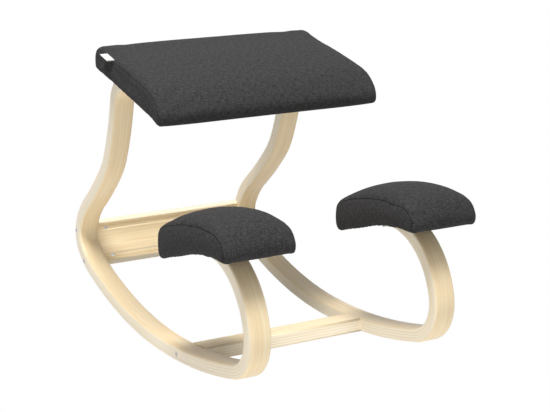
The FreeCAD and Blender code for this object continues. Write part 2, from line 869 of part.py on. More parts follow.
def tee_nut():
    """A T-nut: a threaded barrel below a flange, whose top is at the origin on the Z axis."""
    flange = size("tee_flange_thickness")
    barrel = size("tee_barrel_length")
    body = join(cylinder("Sizes.tee_flange_radius", flange, -flange),
                cylinder("Sizes.tee_barrel_radius", barrel, -flange - barrel))
    return cut(body, cylinder("Sizes.screw_radius + Sizes.drill_clearance / 2",
                              barrel + flange + 2 * PAST, -flange - barrel - PAST))


def make_screws(part, distances):
    """The screws, washers and T-nuts that hold the upholstered boards on the runners."""
    thickness = size(part + "_board_thickness")
    length = (size("washer_thickness") + size("runner_thickness") + lining + thickness
              - size("screw_short_of_top"))
    screws = []
    washers = []
    nuts = []
    for distance in distances:
        for side in (-1, 1):
            start, heading = place(runner_path, distance, -half_thickness
                                   - size("soft_clearance") - size("washer_thickness"))
            top, _ = place(runner_path, distance,
                           half_thickness + lining + thickness - size("soft_clearance"))
            up = outwards(heading)
            screws.append(put(mounting_screw(length), in_space(side * runner_x, start), up))
            washers.append(put(washer(), in_space(side * runner_x, start), up))
            nuts.append(put(tee_nut(), in_space(side * runner_x, top), up))
    group(part + "_screws", screws)
    group(part + "_washers", washers)
    group(part + "_tee_nuts", nuts)


def make_tab(cushion):
    """The small blank cloth tab that is caught in the side seam of the seat."""
    tab = doc.addObject("Part::Box", "blank_tab")
    tab.Label = "blank_tab"
    tab.setExpression("Length", "Sizes.tab_width")
    tab.setExpression("Width", "Sizes.tab_length")
    tab.setExpression("Height", "Sizes.tab_thickness")
    (y, z), heading = place(cushion.path, size("tab_from_rear"))
    slope = heading - math.pi
    rounding = size("upper_edge_radius")
    below = size("tab_below_top")
    edge = (cushion_half_width(cushion) - size("seat_draw_in") - rounding
            + math.sqrt(rounding ** 2 - (rounding - below) ** 2))
    tab.Placement = FreeCAD.Placement(
        FreeCAD.Vector(-edge - size("tab_width"), y - size("tab_length") / 2 * math.cos(slope),
                       z + size("tab_height") - size("tab_length") / 2 * math.sin(slope)),
        FreeCAD.Rotation(FreeCAD.Vector(1, 0, 0), math.degrees(slope)))
    nodes.append(tab)


def check_and_export():
    """Stops at any failed object or shape, then writes each node's STEP file."""
    doc.recompute()
    for item in doc.Objects:
        assert "Invalid" not in item.State and "Error" not in item.State, item.Label
    os.makedirs("parts", exist_ok=True)
    for node in nodes:
        shape = node.Shape
        assert not shape.isNull() and shape.isValid(), node.Label
        box = shape.optimalBoundingBox(False, False)
        print("%-22s %d solid(s) %9.0f mm3  x %7.1f %7.1f  y %7.1f %7.1f  z %6.1f %6.1f" % (
            node.Label, len(shape.Solids), shape.Volume,
            box.XMin, box.XMax, box.YMin, box.YMax, box.ZMin, box.ZMax))
        shape.exportStep("parts/" + node.Label + ".step")


right_runner = make_runner()
add_mirrored("left_runner", right_runner)
make_rear_crossbar()
make_front_crossbar()
make_connectors()
make_dowels()

seat = Cushion("seat", ("frame_half_width", "seat_board_overhang"), seat_path, seat_length,
               SEAT_DRAWN_LENGTH, SEAT_REAR_SECTIONS, SEAT_FRONT_SECTIONS)
nodes.append(make_board("seat_board", seat, seat_screws, (-runner_x, runner_x)))
nodes.append(make_lining("seat_lining", seat, seat_screws, (-runner_x, runner_x)))
nodes.append(make_foam("seat_foam", seat))
nodes.append(make_cover("seat_cover", seat))
make_screws("seat", seat_screws)
make_tab(seat)

knee = Cushion("knee", ("knee_board_half_width",), knee_path, knee_length,
               KNEE_DRAWN_LENGTH, KNEE_REAR_SECTIONS, KNEE_FRONT_SECTIONS)
add_pair("knee_board", make_board("right_knee_board", knee, knee_screws,
                                  (-size("knee_inward_shift"),)))
add_pair("knee_lining", make_lining("right_knee_lining", knee, knee_screws,
                                    (-size("knee_inward_shift"),)))
add_pair("knee_foam", make_foam("right_knee_foam", knee))
add_pair("knee_cover", make_cover("right_knee_cover", knee))
make_screws("knee", knee_screws)
check_and_export()
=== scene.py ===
"""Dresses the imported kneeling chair: laminated birch, woven cushions, fasteners, floor, light and camera."""

import logging
import math
from contextlib import contextmanager
from dataclasses import dataclass, field
from enum import Enum
from typing import Any, Iterator, Sequence

import bmesh
import bpy
import numpy as np
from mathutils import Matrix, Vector
from mathutils.bvhtree import BVHTree


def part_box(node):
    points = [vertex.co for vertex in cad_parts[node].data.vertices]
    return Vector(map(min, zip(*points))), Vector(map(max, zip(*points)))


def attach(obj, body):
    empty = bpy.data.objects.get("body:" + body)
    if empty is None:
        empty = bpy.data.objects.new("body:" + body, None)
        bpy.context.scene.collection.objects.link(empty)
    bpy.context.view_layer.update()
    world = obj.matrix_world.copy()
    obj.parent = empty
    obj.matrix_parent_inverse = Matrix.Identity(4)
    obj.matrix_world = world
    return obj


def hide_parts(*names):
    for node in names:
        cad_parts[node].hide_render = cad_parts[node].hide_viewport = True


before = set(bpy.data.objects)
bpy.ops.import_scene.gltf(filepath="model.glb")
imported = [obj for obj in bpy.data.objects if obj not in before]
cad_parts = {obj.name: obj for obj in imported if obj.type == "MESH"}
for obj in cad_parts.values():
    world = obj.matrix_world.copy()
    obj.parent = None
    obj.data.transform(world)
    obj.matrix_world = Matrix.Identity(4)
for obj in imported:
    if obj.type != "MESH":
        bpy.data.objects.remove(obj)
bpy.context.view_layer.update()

MM = 0.001
BODY = "root"
# Vertices nearer than this are one vertex
WELD = 0.002 * MM
# Keeps a length that is divided by away from 0
TINY = 1e-9
log = logging.getLogger("kneeling_chair")

Tree = bpy.types.NodeTree
Socket = bpy.types.NodeSocket
Piece = bpy.types.Object
Material = bpy.types.Material


class Side(Enum):
    """The two sides of the chair, with the sign of their X."""

    RIGHT = -1
    LEFT = 1

    @property
    def word(self) -> str:
        """The side as node names write it."""
        return self.name.lower()


class Grain(Enum):
    """Which way the veneers of a wooden piece run."""

    ALONG_STRIP = "along the bent strip"
    ACROSS_CHAIR = "across the chair"


# Node trees


def linear(hex_colour: str) -> tuple[float, float, float, float]:
    """Turns an sRGB hex colour to linear RGBA.

    Args:
        hex_colour: The colour as "#RRGGBB".

    Returns:
        Linear red, green and blue with an alpha of 1.
    """
    channels = [int(hex_colour[i : i + 2], 16) / 255 for i in (1, 3, 5)]
    toned = [c / 12.92 if c <= 0.04045 else ((c + 0.055) / 1.055) ** 2.4 for c in channels]
    return (toned[0], toned[1], toned[2], 1.0)


def dress(tree: Tree, node: bpy.types.Node, inputs: dict[Any, Any]) -> None:
    """Sets or links a node's inputs.

    Args:
        tree: The node's tree.
        node: The node, such as a material's shader.
        inputs: Value or source socket for each input, by name or index.
    """
    for name, value in inputs.items():
        if isinstance(value, Socket):
            tree.links.new(value, node.inputs[name])
        else:
            node.inputs[name].default_value = value


def add_node(tree: Tree, kind: str, inputs: dict | None = None, **settings: Any) -> bpy.types.Node:
    """Adds one node with its settings, values and links.

    Args:
        tree: The tree that the node joins.
        kind: The node's type name.
        inputs: Value or source socket for each input, by name or index.
        **settings: Properties of the node.

    Returns:
        The new node.
    """
    node = tree.nodes.new(kind)
    for name, value in settings.items():
        setattr(node, name, value)
    dress(tree, node, inputs or {})
    return node


def new_material(name: str) -> tuple[Material, Tree, bpy.types.Node]:
    """Starts a material with an empty tree, a shader and an output.

    Args:
        name: The material's name.

    Returns:
        The material, its tree and its Principled shader.
    """
    material = bpy.data.materials.new(name)
    material.use_nodes = True
    tree = material.node_tree
    tree.nodes.clear()
    shader = add_node(tree, "ShaderNodeBsdfPrincipled")
    add_node(tree, "ShaderNodeOutputMaterial", {"Surface": shader.outputs["BSDF"]})
    return material, tree, shader


def calculate(tree: Tree, operation: str, *values: Any) -> Socket:
    """Adds one calculation.

    Args:
        tree: The tree that the node joins.
        operation: The operation's name.
        *values: Numbers or sockets, in order.

    Returns:
        The result.
    """
    return add_node(tree, "ShaderNodeMath", dict(enumerate(values)), operation=operation).outputs[0]


def ranged(tree: Tree, value: Socket, start: float, end: float, low: float = 0.0, high: float = 1.0) -> Socket:
    """Maps a range of a value to another range.

    Args:
        tree: The tree that the node joins.
        value: The value.
        start: The result where the value is low.
        end: The result where the value is high.
        low: The lower end of the value's range.
        high: The upper end of the value's range.

    Returns:
        The mapped value.
    """
    return add_node(tree, "ShaderNodeMapRange", {0: value, 1: low, 2: high, 3: start, 4: end}).outputs[0]


def noise(tree: Tree, place: Socket, detail: float, roughness: float = 0.5, scale: float = 1.0,
          distortion: float = 0.0) -> Socket:
    """Adds a noise texture.

    Args:
        tree: The tree that the node joins.
        place: The coordinates.
        detail: How many octaves it has.
        roughness: How strong the finer octaves are.
        scale: How many spots there are in one unit of the coordinates.
        distortion: How far it is bent.

    Returns:
        The noise, about 0.5 in the middle.
    """
    return add_node(tree, "ShaderNodeTexNoise", {
        "Vector": place, "Scale": scale, "Detail": detail, "Roughness": roughness, "Distortion": distortion,
    }).outputs[0]


def object_place(tree: Tree) -> Socket:
    """The place in the piece's own coordinates."""
    return add_node(tree, "ShaderNodeTexCoord").outputs["Object"]


def relief(tree: Tree, height: Socket, strength: float, depth: float) -> Socket:
    """Turns a height to a bumpy surface's normals.

    Args:
        tree: The material's tree.
        height: The height, from 0 to 1.
        strength: The share of the bump that counts.
        depth: The depth that a height of 1 stands for.

    Returns:
        The normals.
    """
    return add_node(tree, "ShaderNodeBump", {"Strength": strength, "Distance": depth, "Height": height}).outputs[0]


def toned(tree: Tree, value: Socket, dark: tuple[float, str], light: tuple[float, str],
          between: Sequence[tuple[float, str]] = ()) -> Socket:
    """Colours a value.

    Args:
        tree: The material's tree.
        value: The value.
        dark: The lower value with its hex colour.
        light: The upper value with its hex colour.
        between: Values between the two, each with its hex colour.

    Returns:
        The colour.
    """
    node = add_node(tree, "ShaderNodeValToRGB", {0: value})
    ramp = node.color_ramp
    for element, (place, colour) in zip(ramp.elements, (dark, light)):
        element.position = place
        element.color = linear(colour)
    for place, colour in between:
        ramp.elements.new(place).color = linear(colour)
    return node.outputs[0]


def blended(tree: Tree, share: Any, first: Any, second: Any) -> Socket:
    """Mixes two colours.

    Args:
        tree: The material's tree.
        share: How much of the second there is, from 0 to 1.
        first: A linear colour or its socket.
        second: A linear colour or its socket.

    Returns:
        The colour.
    """
    return add_node(tree, "ShaderNodeMix", {0: share, 6: first, 7: second}, data_type="RGBA").outputs[2]


# Finishes


@dataclass(frozen=True)
class LacqueredBirch:
    """Bent birch laminate under a clear satin lacquer.

    It gives the eye pale, slightly yellow wood with fine grain along the veneers, and thin darker
    glue lines where the edges of the plies show.
    """

    name: str = "lacquered birch laminate"
    face_light: str = "#F6E4BF"
    face_dark: str = "#EACD9E"
    edge_light: str = "#FBF1DC"
    edge_dark: str = "#F3E4C4"
    glue: str = "#CDAA74"
    glue_share: float = 0.36
    glue_sink: float = 0.6
    thickness: float = 24.5 * MM
    # Real plies are 1.5 mm thick, too fine for the picture, so each drawn one stands for three
    plies: int = 5
    grain_width: float = 1.6 * MM
    grain_length: float = 90 * MM
    figure_width: float = 11.2 * MM
    figure_length: float = 270 * MM
    figure_share: float = 0.4
    # The tone of the faces starts this deep in the rounded edges and is full at this depth
    turn_deep: float = 3.2 * MM
    turn_full: float = 0.6 * MM

    def build(self) -> Material:
        """Makes the material, which reads the strip attribute: along, through and across the laminate.

        Returns:
            The material.
        """
        material, tree, shader = new_material(self.name)
        strip = add_node(tree, "ShaderNodeAttribute", attribute_name="strip")
        parts = add_node(tree, "ShaderNodeSeparateXYZ", {0: strip.outputs["Vector"]}).outputs
        through = parts[1]
        fibres = noise(tree, self.stretched(tree, parts, self.grain_length, self.grain_width),
                       detail=4.0, roughness=0.62, distortion=0.25)
        figure = noise(tree, self.stretched(tree, parts, self.figure_length, self.figure_width),
                       detail=2.0, distortion=0.8)
        grain = add_node(tree, "ShaderNodeMix", {
            0: self.figure_share, 2: fibres, 3: figure,
        }, data_type="FLOAT").outputs[0]
        wide = self.wood_tone(tree, grain, self.face_dark, self.face_light)
        narrow = self.wood_tone(tree, grain, self.edge_dark, self.edge_light)
        on_face = ranged(tree, calculate(tree, "ABSOLUTE", through), 0.0, 1.0,
                         self.thickness / 2 - self.turn_deep, self.thickness / 2 - self.turn_full)
        lines = self.glue_lines(tree, through)
        wood = blended(tree, on_face, narrow, wide)
        height = calculate(tree, "SUBTRACT", fibres, calculate(tree, "MULTIPLY", lines, self.glue_sink))
        dress(tree, shader, {
            "Base Color": blended(tree, calculate(tree, "MULTIPLY", lines, self.glue_share), wood, linear(self.glue)),
            "Roughness": ranged(tree, grain, 0.46, 0.36),
            "Normal": relief(tree, height, 0.06, 0.2 * MM),
            "Coat Weight": 0.12,
            "Coat Roughness": 0.3,
        })
        return material

    @staticmethod
    def stretched(tree: Tree, parts: Sequence[Socket], length: float, width: float) -> Socket:
        """Coordinates that stretch a texture along the grain.

        Args:
            tree: The material's tree.
            parts: The places along, through and across the laminate.
            length: The size of one spot along the grain.
            width: Its size the two other ways.

        Returns:
            The coordinates.
        """
        scaled = [calculate(tree, "DIVIDE", part, size) for part, size in zip(parts, (length, width, width))]
        return add_node(tree, "ShaderNodeCombineXYZ", dict(enumerate(scaled))).outputs[0]

    @staticmethod
    def wood_tone(tree: Tree, grain: Socket, dark: str, light: str) -> Socket:
        """Colours the grain between the tones of its dark streaks and of the pale wood."""
        return toned(tree, grain, (0.34, dark), (0.62, light))

    def glue_lines(self, tree: Tree, through: Socket) -> Socket:
        """Draws the joints between the plies, and none on the outer and inner faces.

        Args:
            tree: The material's tree.
            through: The place in the thickness, 0 in the middle.

        Returns:
            A mask that is 1 on a joint.
        """
        pitch = self.thickness / self.plies
        place = calculate(tree, "DIVIDE", through, pitch)
        near = calculate(tree, "ABSOLUTE", calculate(tree, "SUBTRACT", place, calculate(tree, "ROUND", place)))
        line = ranged(tree, near, 1.0, 0.0, 0.05, 0.16)
        depth = calculate(tree, "ABSOLUTE", through)
        inside = calculate(tree, "LESS_THAN", depth, self.thickness / 2 - pitch / 2)
        return calculate(tree, "MULTIPLY", line, inside)


@dataclass(frozen=True)
class BareWood:
    """Unlacquered plywood or beech.

    It gives the eye a matt light brown with straight, slightly rough grain along one axis.
    """

    name: str
    light: str
    dark: str
    grain_scale: tuple[float, float, float]

    def build(self) -> Material:
        """Makes the material on object coordinates.

        Returns:
            The material.
        """
        material, tree, shader = new_material(self.name)
        spread = add_node(tree, "ShaderNodeMapping", {"Vector": object_place(tree), "Scale": self.grain_scale})
        fibres = noise(tree, spread.outputs[0], detail=5.0, roughness=0.6)
        dress(tree, shader, {
            "Base Color": toned(tree, fibres, (0.3, self.dark), (0.66, self.light)),
            "Normal": relief(tree, fibres, 0.25, 0.2 * MM),
            "Roughness": 0.7,
        })
        return material


@dataclass(frozen=True)
class WovenUpholstery:
    """Anthracite polyester upholstery cloth in a plain weave of uneven yarn.

    It gives the eye a soft dark grey with faint paler and darker flecks along the yarns, no gloss,
    and a narrow sunk groove where two panels are sewn together, darkened with painted shade.
    """

    name: str = "anthracite woven polyester"
    yarn: str = "#363535"
    fleck: str = "#444343"
    shade: str = "#282727"
    # The colour of the painted shade in a seam's groove
    seam_painted_shade: str = "#101010"
    # The real yarns are 0.7 mm apart, too fine for the picture, so they are drawn at 1.8 mm
    pitch: float = 1.8 * MM
    slub_length: float = 9 * MM
    # The seam's mask carries its painted shade and its relief. It is full up to the first distance and has faded at
    # the second
    seam_core: float = 0.35 * MM
    seam_rim: float = 1.3 * MM

    def build(self) -> Material:
        """Makes the material, which reads the cloth UV map in metres and the seam attribute.

        Returns:
            The material.
        """
        material, tree, shader = new_material(self.name)
        where = add_node(tree, "ShaderNodeUVMap", uv_map="cloth")
        u, v, _ = add_node(tree, "ShaderNodeSeparateXYZ", {0: where.outputs[0]}).outputs
        weft = self.slubs(tree, u, v, self.slub_length, self.pitch)
        warp = self.slubs(tree, u, v, self.pitch, self.slub_length)
        yarns = calculate(tree, "ADD", calculate(tree, "MULTIPLY", weft, 0.5), calculate(tree, "MULTIPLY", warp, 0.5))
        tone = toned(tree, yarns, (0.36, self.shade), (0.66, self.fleck), [(0.5, self.yarn)])
        seam = self.seam_mask(tree)
        woven = calculate(tree, "ADD", self.weave_height(tree, u, v), yarns)
        height = calculate(tree, "SUBTRACT", woven, calculate(tree, "MULTIPLY", seam, 1.5))
        dress(tree, shader, {
            # Painted shade: the base colour is darkened in the seam's groove
            "Base Color": blended(tree, calculate(tree, "MULTIPLY", seam, 0.85), tone, linear(self.seam_painted_shade)),
            "Normal": relief(tree, height, 0.35, 0.35 * MM),
            "Roughness": 0.92,
            "Sheen Weight": 0.015,
            "Sheen Roughness": 0.45,
            "Specular IOR Level": 0.12,
        })
        return material

    @staticmethod
    def slubs(tree: Tree, u: Socket, v: Socket, length_u: float, length_v: float) -> Socket:
        """Uneven yarn: noise that is stretched along the yarn.

        Args:
            tree: The material's tree.
            u: Place across the chair, in metres.
            v: Place along the cloth, in metres.
            length_u: Size of one fleck along u.
            length_v: Size of one fleck along v.

        Returns:
            The noise, about 0.5 in the middle.
        """
        vector = add_node(tree, "ShaderNodeCombineXYZ", {
            0: calculate(tree, "DIVIDE", u, length_u), 1: calculate(tree, "DIVIDE", v, length_v), 2: length_u,
        })
        return noise(tree, vector.outputs[0], detail=2.0, roughness=0.6)

    def weave_height(self, tree: Tree, u: Socket, v: Socket) -> Socket:
        """The over-and-under relief of a plain weave.

        Args:
            tree: The material's tree.
            u: Place across the chair, in metres.
            v: Place along the cloth, in metres.

        Returns:
            A height from 0 to 1.
        """
        waves = [calculate(tree, "SINE", calculate(tree, "MULTIPLY", way, math.pi / self.pitch)) for way in (u, v)]
        return calculate(tree, "ABSOLUTE", calculate(tree, "MULTIPLY", *waves))

    def seam_mask(self, tree: Tree) -> Socket:
        """1 in the groove of a seam, from the signed distance that each cushion carries; it places the seam's painted
        shade and relief.
        """
        seam = add_node(tree, "ShaderNodeAttribute", attribute_name="seam")
        return ranged(tree, calculate(tree, "ABSOLUTE", seam.outputs["Fac"]), 1.0, 0.0, self.seam_core, self.seam_rim)


@dataclass(frozen=True)
class PlainCloth:
    """A thin cloth or thread without visible yarns, such as non-woven lining, sewing thread or woven tape.

    It gives the eye one matt colour with faint cloudy spots and a slightly fuzzy surface.
    """

    name: str
    colour: str
    second: str
    fleck: float

    def build(self) -> Material:
        """Makes the material on object coordinates.

        Returns:
            The material.
        """
        material, tree, shader = new_material(self.name)
        spots = noise(tree, object_place(tree), detail=3.0, scale=1 / self.fleck)
        dress(tree, shader, {
            "Base Color": blended(tree, spots, linear(self.colour), linear(self.second)),
            "Normal": relief(tree, spots, 0.4, 0.15 * MM),
            "Roughness": 0.9,
            "Sheen Weight": 0.1,
        })
        return material


@dataclass(frozen=True)
class ZincPlatedSteel:
    """Zinc-plated steel. It gives the eye a cool grey metal with a slightly cloudy shine."""

    name: str = "zinc-plated steel"
    colour: str = "#CDCDCA"
    cloud: float = 4 * MM

    def build(self) -> Material:
        """Makes the material on object coordinates.

        Returns:
            The material.
        """
        material, tree, shader = new_material(self.name)
        clouds = noise(tree, object_place(tree), detail=4.0, scale=1 / self.cloud)
        dress(tree, shader, {
            "Base Color": linear(self.colour),
            "Metallic": 1.0,
            "Roughness": ranged(tree, clouds, 0.28, 0.48),
            "Normal": relief(tree, clouds, 0.1, 0.05 * MM),
        })
        return material


def made(finish: Any) -> Any:
    """A field whose value is the finish's material, made with its owner."""
    return field(default_factory=finish.build)


@dataclass
class Finishes:
    """Every finish of the chair, made once."""

    birch: Material = made(LacqueredBirch())
    # The boards show only from below, as light brown wood with its grain along the chair
    plywood: Material = made(BareWood("bare moulded plywood", "#D2B488", "#B08D5F", (900.0, 18.0, 900.0)))
    # The dowels are reddish brown pegs with their grain across the chair
    beech: Material = made(BareWood("bare beech dowel", "#D8B489", "#B98F61", (25.0, 900.0, 900.0)))
    upholstery: Material = made(WovenUpholstery())
    # The linings read as a flat black under each board
    lining: Material = made(PlainCloth("black non-woven lining", "#161616", "#222222", 1.2 * MM))
    # The stitches are nearly black, a little shinier than the valley that they lie in
    thread: Material = made(PlainCloth("dark sewing thread", "#1C1C1C", "#2A2A2A", 0.4 * MM))
    # The tab is the one white spot on the dark seat
    tape: Material = made(PlainCloth("white woven tape", "#E2E1DE", "#C9C8C4", 0.9 * MM))
    steel: Material = made(ZincPlatedSteel())


# Meshes


@contextmanager
def editing(mesh: bpy.types.Mesh) -> Iterator[bmesh.types.BMesh]:
    """Opens a mesh for editing and writes it back at the end.

    Args:
        mesh: The mesh, which may be empty.

    Yields:
        The mesh in its editable form.
    """
    work = bmesh.new()
    work.from_mesh(mesh)
    yield work
    work.to_mesh(mesh)
    work.free()


def link_mesh(mesh: bpy.types.Mesh, name: str) -> Piece:
    """Puts a mesh in the scene.

    Args:
        mesh: The mesh.
        name: The object's name.

    Returns:
        The object, at the origin.
    """
    piece = bpy.data.objects.new(name, mesh)
    bpy.context.scene.collection.objects.link(piece)
    return piece


def merged_copy(node: str, name: str) -> Piece:
    """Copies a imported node's mesh to a new object and joins its loose triangles.

    Args:
        node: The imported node's name.
        name: The new object's name.

    Returns:
        The new object, at the origin.
    """
    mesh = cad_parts[node].data.copy()
    mesh.name = name
    mesh.materials.clear()
    with editing(mesh) as work:
        bmesh.ops.remove_doubles(work, verts=work.verts, dist=WELD)
    return link_mesh(mesh, name)


def surface(piece: Piece) -> BVHTree:
    """The piece's surface, ready for rays and for the nearest place on it."""
    return BVHTree.FromPolygons([v.co for v in piece.data.vertices], [p.vertices for p in piece.data.polygons])


def coordinates(mesh: bpy.types.Mesh) -> np.ndarray:
    """Reads the places of a mesh's vertices.

    Args:
        mesh: The mesh.

    Returns:
        One row of x, y, z for each vertex.
    """
    flat = np.empty(len(mesh.vertices) * 3, np.float64)
    mesh.vertices.foreach_get("co", flat)
    return flat.reshape(-1, 3)


def set_coordinates(mesh: bpy.types.Mesh, places: np.ndarray) -> None:
    """Moves a mesh's vertices to new places."""
    mesh.vertices.foreach_set("co", places.astype(np.float32).ravel())
    mesh.update()


def vertex_normals(mesh: bpy.types.Mesh) -> np.ndarray:
    """Reads the normals of a mesh's vertices.

    Args:
        mesh: The mesh.

    Returns:
        One row of x, y, z for each vertex.
    """
    flat = np.empty(len(mesh.vertices) * 3, np.float32)
    mesh.vertices.foreach_get("normal", flat)
    return flat.reshape(-1, 3).astype(np.float64)


def write_attribute(mesh: bpy.types.Mesh, name: str, kind: str, values: np.ndarray) -> None:
    """Stores one value or vector for each vertex.

    Args:
        mesh: The mesh that gets the attribute.
        name: The attribute's name.
        kind: FLOAT or FLOAT_VECTOR.
        values: One row for each vertex.
    """
    layer = mesh.attributes.new(name, kind, "POINT")
    layer.data.foreach_set("vector" if kind == "FLOAT_VECTOR" else "value", values.astype(np.float32).ravel())


def applied(piece: Piece) -> Piece:
    """Makes a piece's live modifiers part of its mesh and removes them.

    Args:
        piece: A mesh or curve object.

    Returns:
        A mesh object of the same name.
    """
    bpy.context.view_layer.update()
    evaluated = piece.evaluated_get(bpy.context.evaluated_depsgraph_get())
    mesh = bpy.data.meshes.new_from_object(evaluated)
    name = piece.name
    if piece.type == "MESH":
        piece.modifiers.clear()
        piece.data = mesh
        return piece
    bpy.data.objects.remove(piece)
    return link_mesh(mesh, name)


def modified(piece: Piece, kind: str, **settings: Any) -> Piece:
    """Applies one modifier.

    Args:
        piece: A mesh object.
        kind: The modifier's type.
        **settings: Properties of the modifier.

    Returns:
        The same object.
    """
    modifier = piece.modifiers.new(kind.lower(), kind)
    for name, value in settings.items():
        setattr(modifier, name, value)
    return applied(piece)


def smooth_by_angle(mesh: bpy.types.Mesh, degrees: float) -> None:
    """Shades a mesh smooth, except at edges sharper than an angle."""
    mesh.shade_smooth()
    mesh.set_sharp_from_angle(angle=math.radians(degrees))


def finish_piece(piece: Piece, material: Material, nodes: Sequence[str]) -> None:
    """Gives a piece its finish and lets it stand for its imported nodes.

    Args:
        piece: The finished piece.
        material: Its material.
        nodes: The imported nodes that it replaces.
    """
    piece.data.materials.clear()
    piece.data.materials.append(material)
    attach(piece, BODY)
    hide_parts(*nodes)
    log.info("%s: %d faces, stands for %s", piece.name, len(piece.data.polygons), ", ".join(nodes))


def new_group(name: str, inputs: dict[str, str]) -> tuple[Tree, bpy.types.Node]:
    """Starts a geometry node tree with named inputs.

    Args:
        name: The tree's name.
        inputs: Socket type for each named input, after the geometry.

    Returns:
        The tree and its input node.
    """
    tree = bpy.data.node_groups.new(name, "GeometryNodeTree")
    tree.interface.new_socket("Geometry", in_out="INPUT", socket_type="NodeSocketGeometry")
    for label, kind in inputs.items():
        tree.interface.new_socket(label, in_out="INPUT", socket_type=kind)
    tree.interface.new_socket("Geometry", in_out="OUTPUT", socket_type="NodeSocketGeometry")
    return tree, add_node(tree, "NodeGroupInput")


def close_group(tree: Tree, geometry: Socket, finish: Socket) -> None:
    """Ends a tree: real meshes, the finish, and the output.

    Args:
        tree: The tree.
        geometry: What it has made.
        finish: The input that holds the material.
    """
    real = add_node(tree, "GeometryNodeRealizeInstances", {0: geometry})
    dressed = add_node(tree, "GeometryNodeSetMaterial", {0: real.outputs[0], "Material": finish})
    add_node(tree, "NodeGroupOutput", {0: dressed.outputs[0]})


def run_group(piece: Piece, tree: Tree, values: dict[str, Any]) -> Piece:
    """Runs a geometry node tree on an object and keeps the result as a mesh.

    Args:
        piece: The object that the tree starts from.
        tree: The tree.
        values: A value for each named input.

    Returns:
        The mesh object.
    """
    modifier = piece.modifiers.new(tree.name, "NODES")
    modifier.node_group = tree
    for item in tree.interface.items_tree:
        if item.in_out == "INPUT" and item.name in values:
            modifier[item.identifier] = values[item.name]
    return applied(piece)


def poly_curve(name: str, points: np.ndarray) -> Piece:
    """Makes a curve of straight stretches.

    Args:
        name: The object's name.
        points: One row of x, y, z for each point.

    Returns:
        The curve object.
    """
    curve = bpy.data.curves.new(name, "CURVE")
    curve.dimensions = "3D"
    spline = curve.splines.new("POLY")
    spline.points.add(len(points) - 1)
    spline.points.foreach_set("co", np.c_[points, np.ones(len(points))].astype(np.float32).ravel())
    return link_mesh(curve, name)


# The frame


@dataclass(frozen=True)
class Bend:
    """One bend of the strip.

    Attributes:
        radius: The radius of its centreline in mm, negative where it bends back.
        turn: Its turn in degrees.
    """

    radius: float
    turn: float

    @property
    def length(self) -> float:
        """The length of the bend's centreline, in metres."""
        return abs(self.radius) * MM * math.radians(self.turn)


@dataclass
class StripPath:
    """The centreline of a runner in the side plane, from its end under the knee rest to its end under the seat.

    Attributes:
        front: The bends from the knee rest down to the floor.
        rear: The bends from the floor up to the seat.
        arm: The straight length under the seat.
        thickness: The strip's thickness.
        spacing: The distance between the points of the path.
        chunk: How many places are looked up at a time.
        rows: For each point, how far along it lies, its y, its z and its heading.
    """

    front: tuple[Bend, ...] = (Bend(522.0, 3.3), Bend(129.6, 91.7), Bend(66.7, 84.6), Bend(1131.0, 15.7))
    rear: tuple[Bend, ...] = (
        Bend(803.0, 20.2), Bend(143.0, 22.6), Bend(41.3, 73.8), Bend(153.0, 25.3),
        Bend(-743.0, 8.6), Bend(-141.0, 17.5), Bend(-482.0, 14.0), Bend(44.5, 90.5),
    )
    arm: float = 135.0 * MM
    thickness: float = 24.5 * MM
    spacing: float = 1.0 * MM
    chunk: int = 4000
    rows: np.ndarray = field(init=False)

    def __post_init__(self) -> None:
        """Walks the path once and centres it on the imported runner's box."""
        heading = -math.radians(sum(bend.turn for bend in self.front))
        point = (0.0, 0.0)
        rows = []
        along = 0.0
        for length, radius in self.legs():
            steps = max(1, round(length / self.spacing))
            for distance in (length * step / steps for step in range(steps)):
                rows.append((along + distance, *self.ahead(point, heading, radius, distance)))
            *point, heading = self.ahead(point, heading, radius, length)
            along += length
        rows.append((along, *point, heading))
        self.rows = np.array(rows)
        low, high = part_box(Side.RIGHT.word + "_runner")
        outer = self.beside(self.thickness / 2)
        self.rows[:, 1] += (low.y + high.y) / 2 - (outer[:, 0].min() + outer[:, 0].max()) / 2
        self.rows[:, 2] += low.z - outer[:, 1].min()

    def legs(self) -> list[tuple[float, float]]:
        """Length and signed radius of each stretch, in metres; radius 0 is straight."""
        return [(bend.length, bend.radius * MM) for bend in self.front + self.rear] + [(self.arm, 0.0)]

    @staticmethod
    def ahead(point: Sequence[float], heading: float, radius: float, distance: float) -> tuple[float, float, float]:
        """Goes on along one stretch.

        Args:
            point: The y and z where it starts.
            heading: The heading there.
            radius: The stretch's radius, 0 where it is straight.
            distance: How far to go.

        Returns:
            The y, the z and the heading there.
        """
        if radius == 0:
            return point[0] + distance * math.cos(heading), point[1] + distance * math.sin(heading), heading
        turned = heading + distance / radius
        return (point[0] + radius * (math.sin(turned) - math.sin(heading)),
                point[1] - radius * (math.cos(turned) - math.cos(heading)), turned)

    def beside(self, offset: float) -> np.ndarray:
        """The points of the path moved outwards by an offset."""
        _, y, z, heading = self.rows.T
        return np.c_[y + offset * np.sin(heading), z - offset * np.cos(heading)]

    def locate(self, places: np.ndarray) -> tuple[np.ndarray, np.ndarray]:
        """Finds how far along the path and how far outwards of it each place is.

        Args:
            places: One row of x, y, z for each place.

        Returns:
            The distances along the path and the offsets through the thickness.
        """
        along = np.empty(len(places))
        offset = np.empty(len(places))
        centre = self.rows[:, 1:3]
        for start in range(0, len(places), self.chunk):
            part = places[start : start + self.chunk, 1:3]
            nearest = ((part[:, None, :] - centre[None]) ** 2).sum(axis=2).argmin(axis=1)
            distance, y, z, heading = self.rows[nearest].T
            gap_y, gap_z = part[:, 0] - y, part[:, 1] - z
            along[start : start + self.chunk] = distance + gap_y * np.cos(heading) + gap_z * np.sin(heading)
            offset[start : start + self.chunk] = gap_y * np.sin(heading) - gap_z * np.cos(heading)
        return along, offset


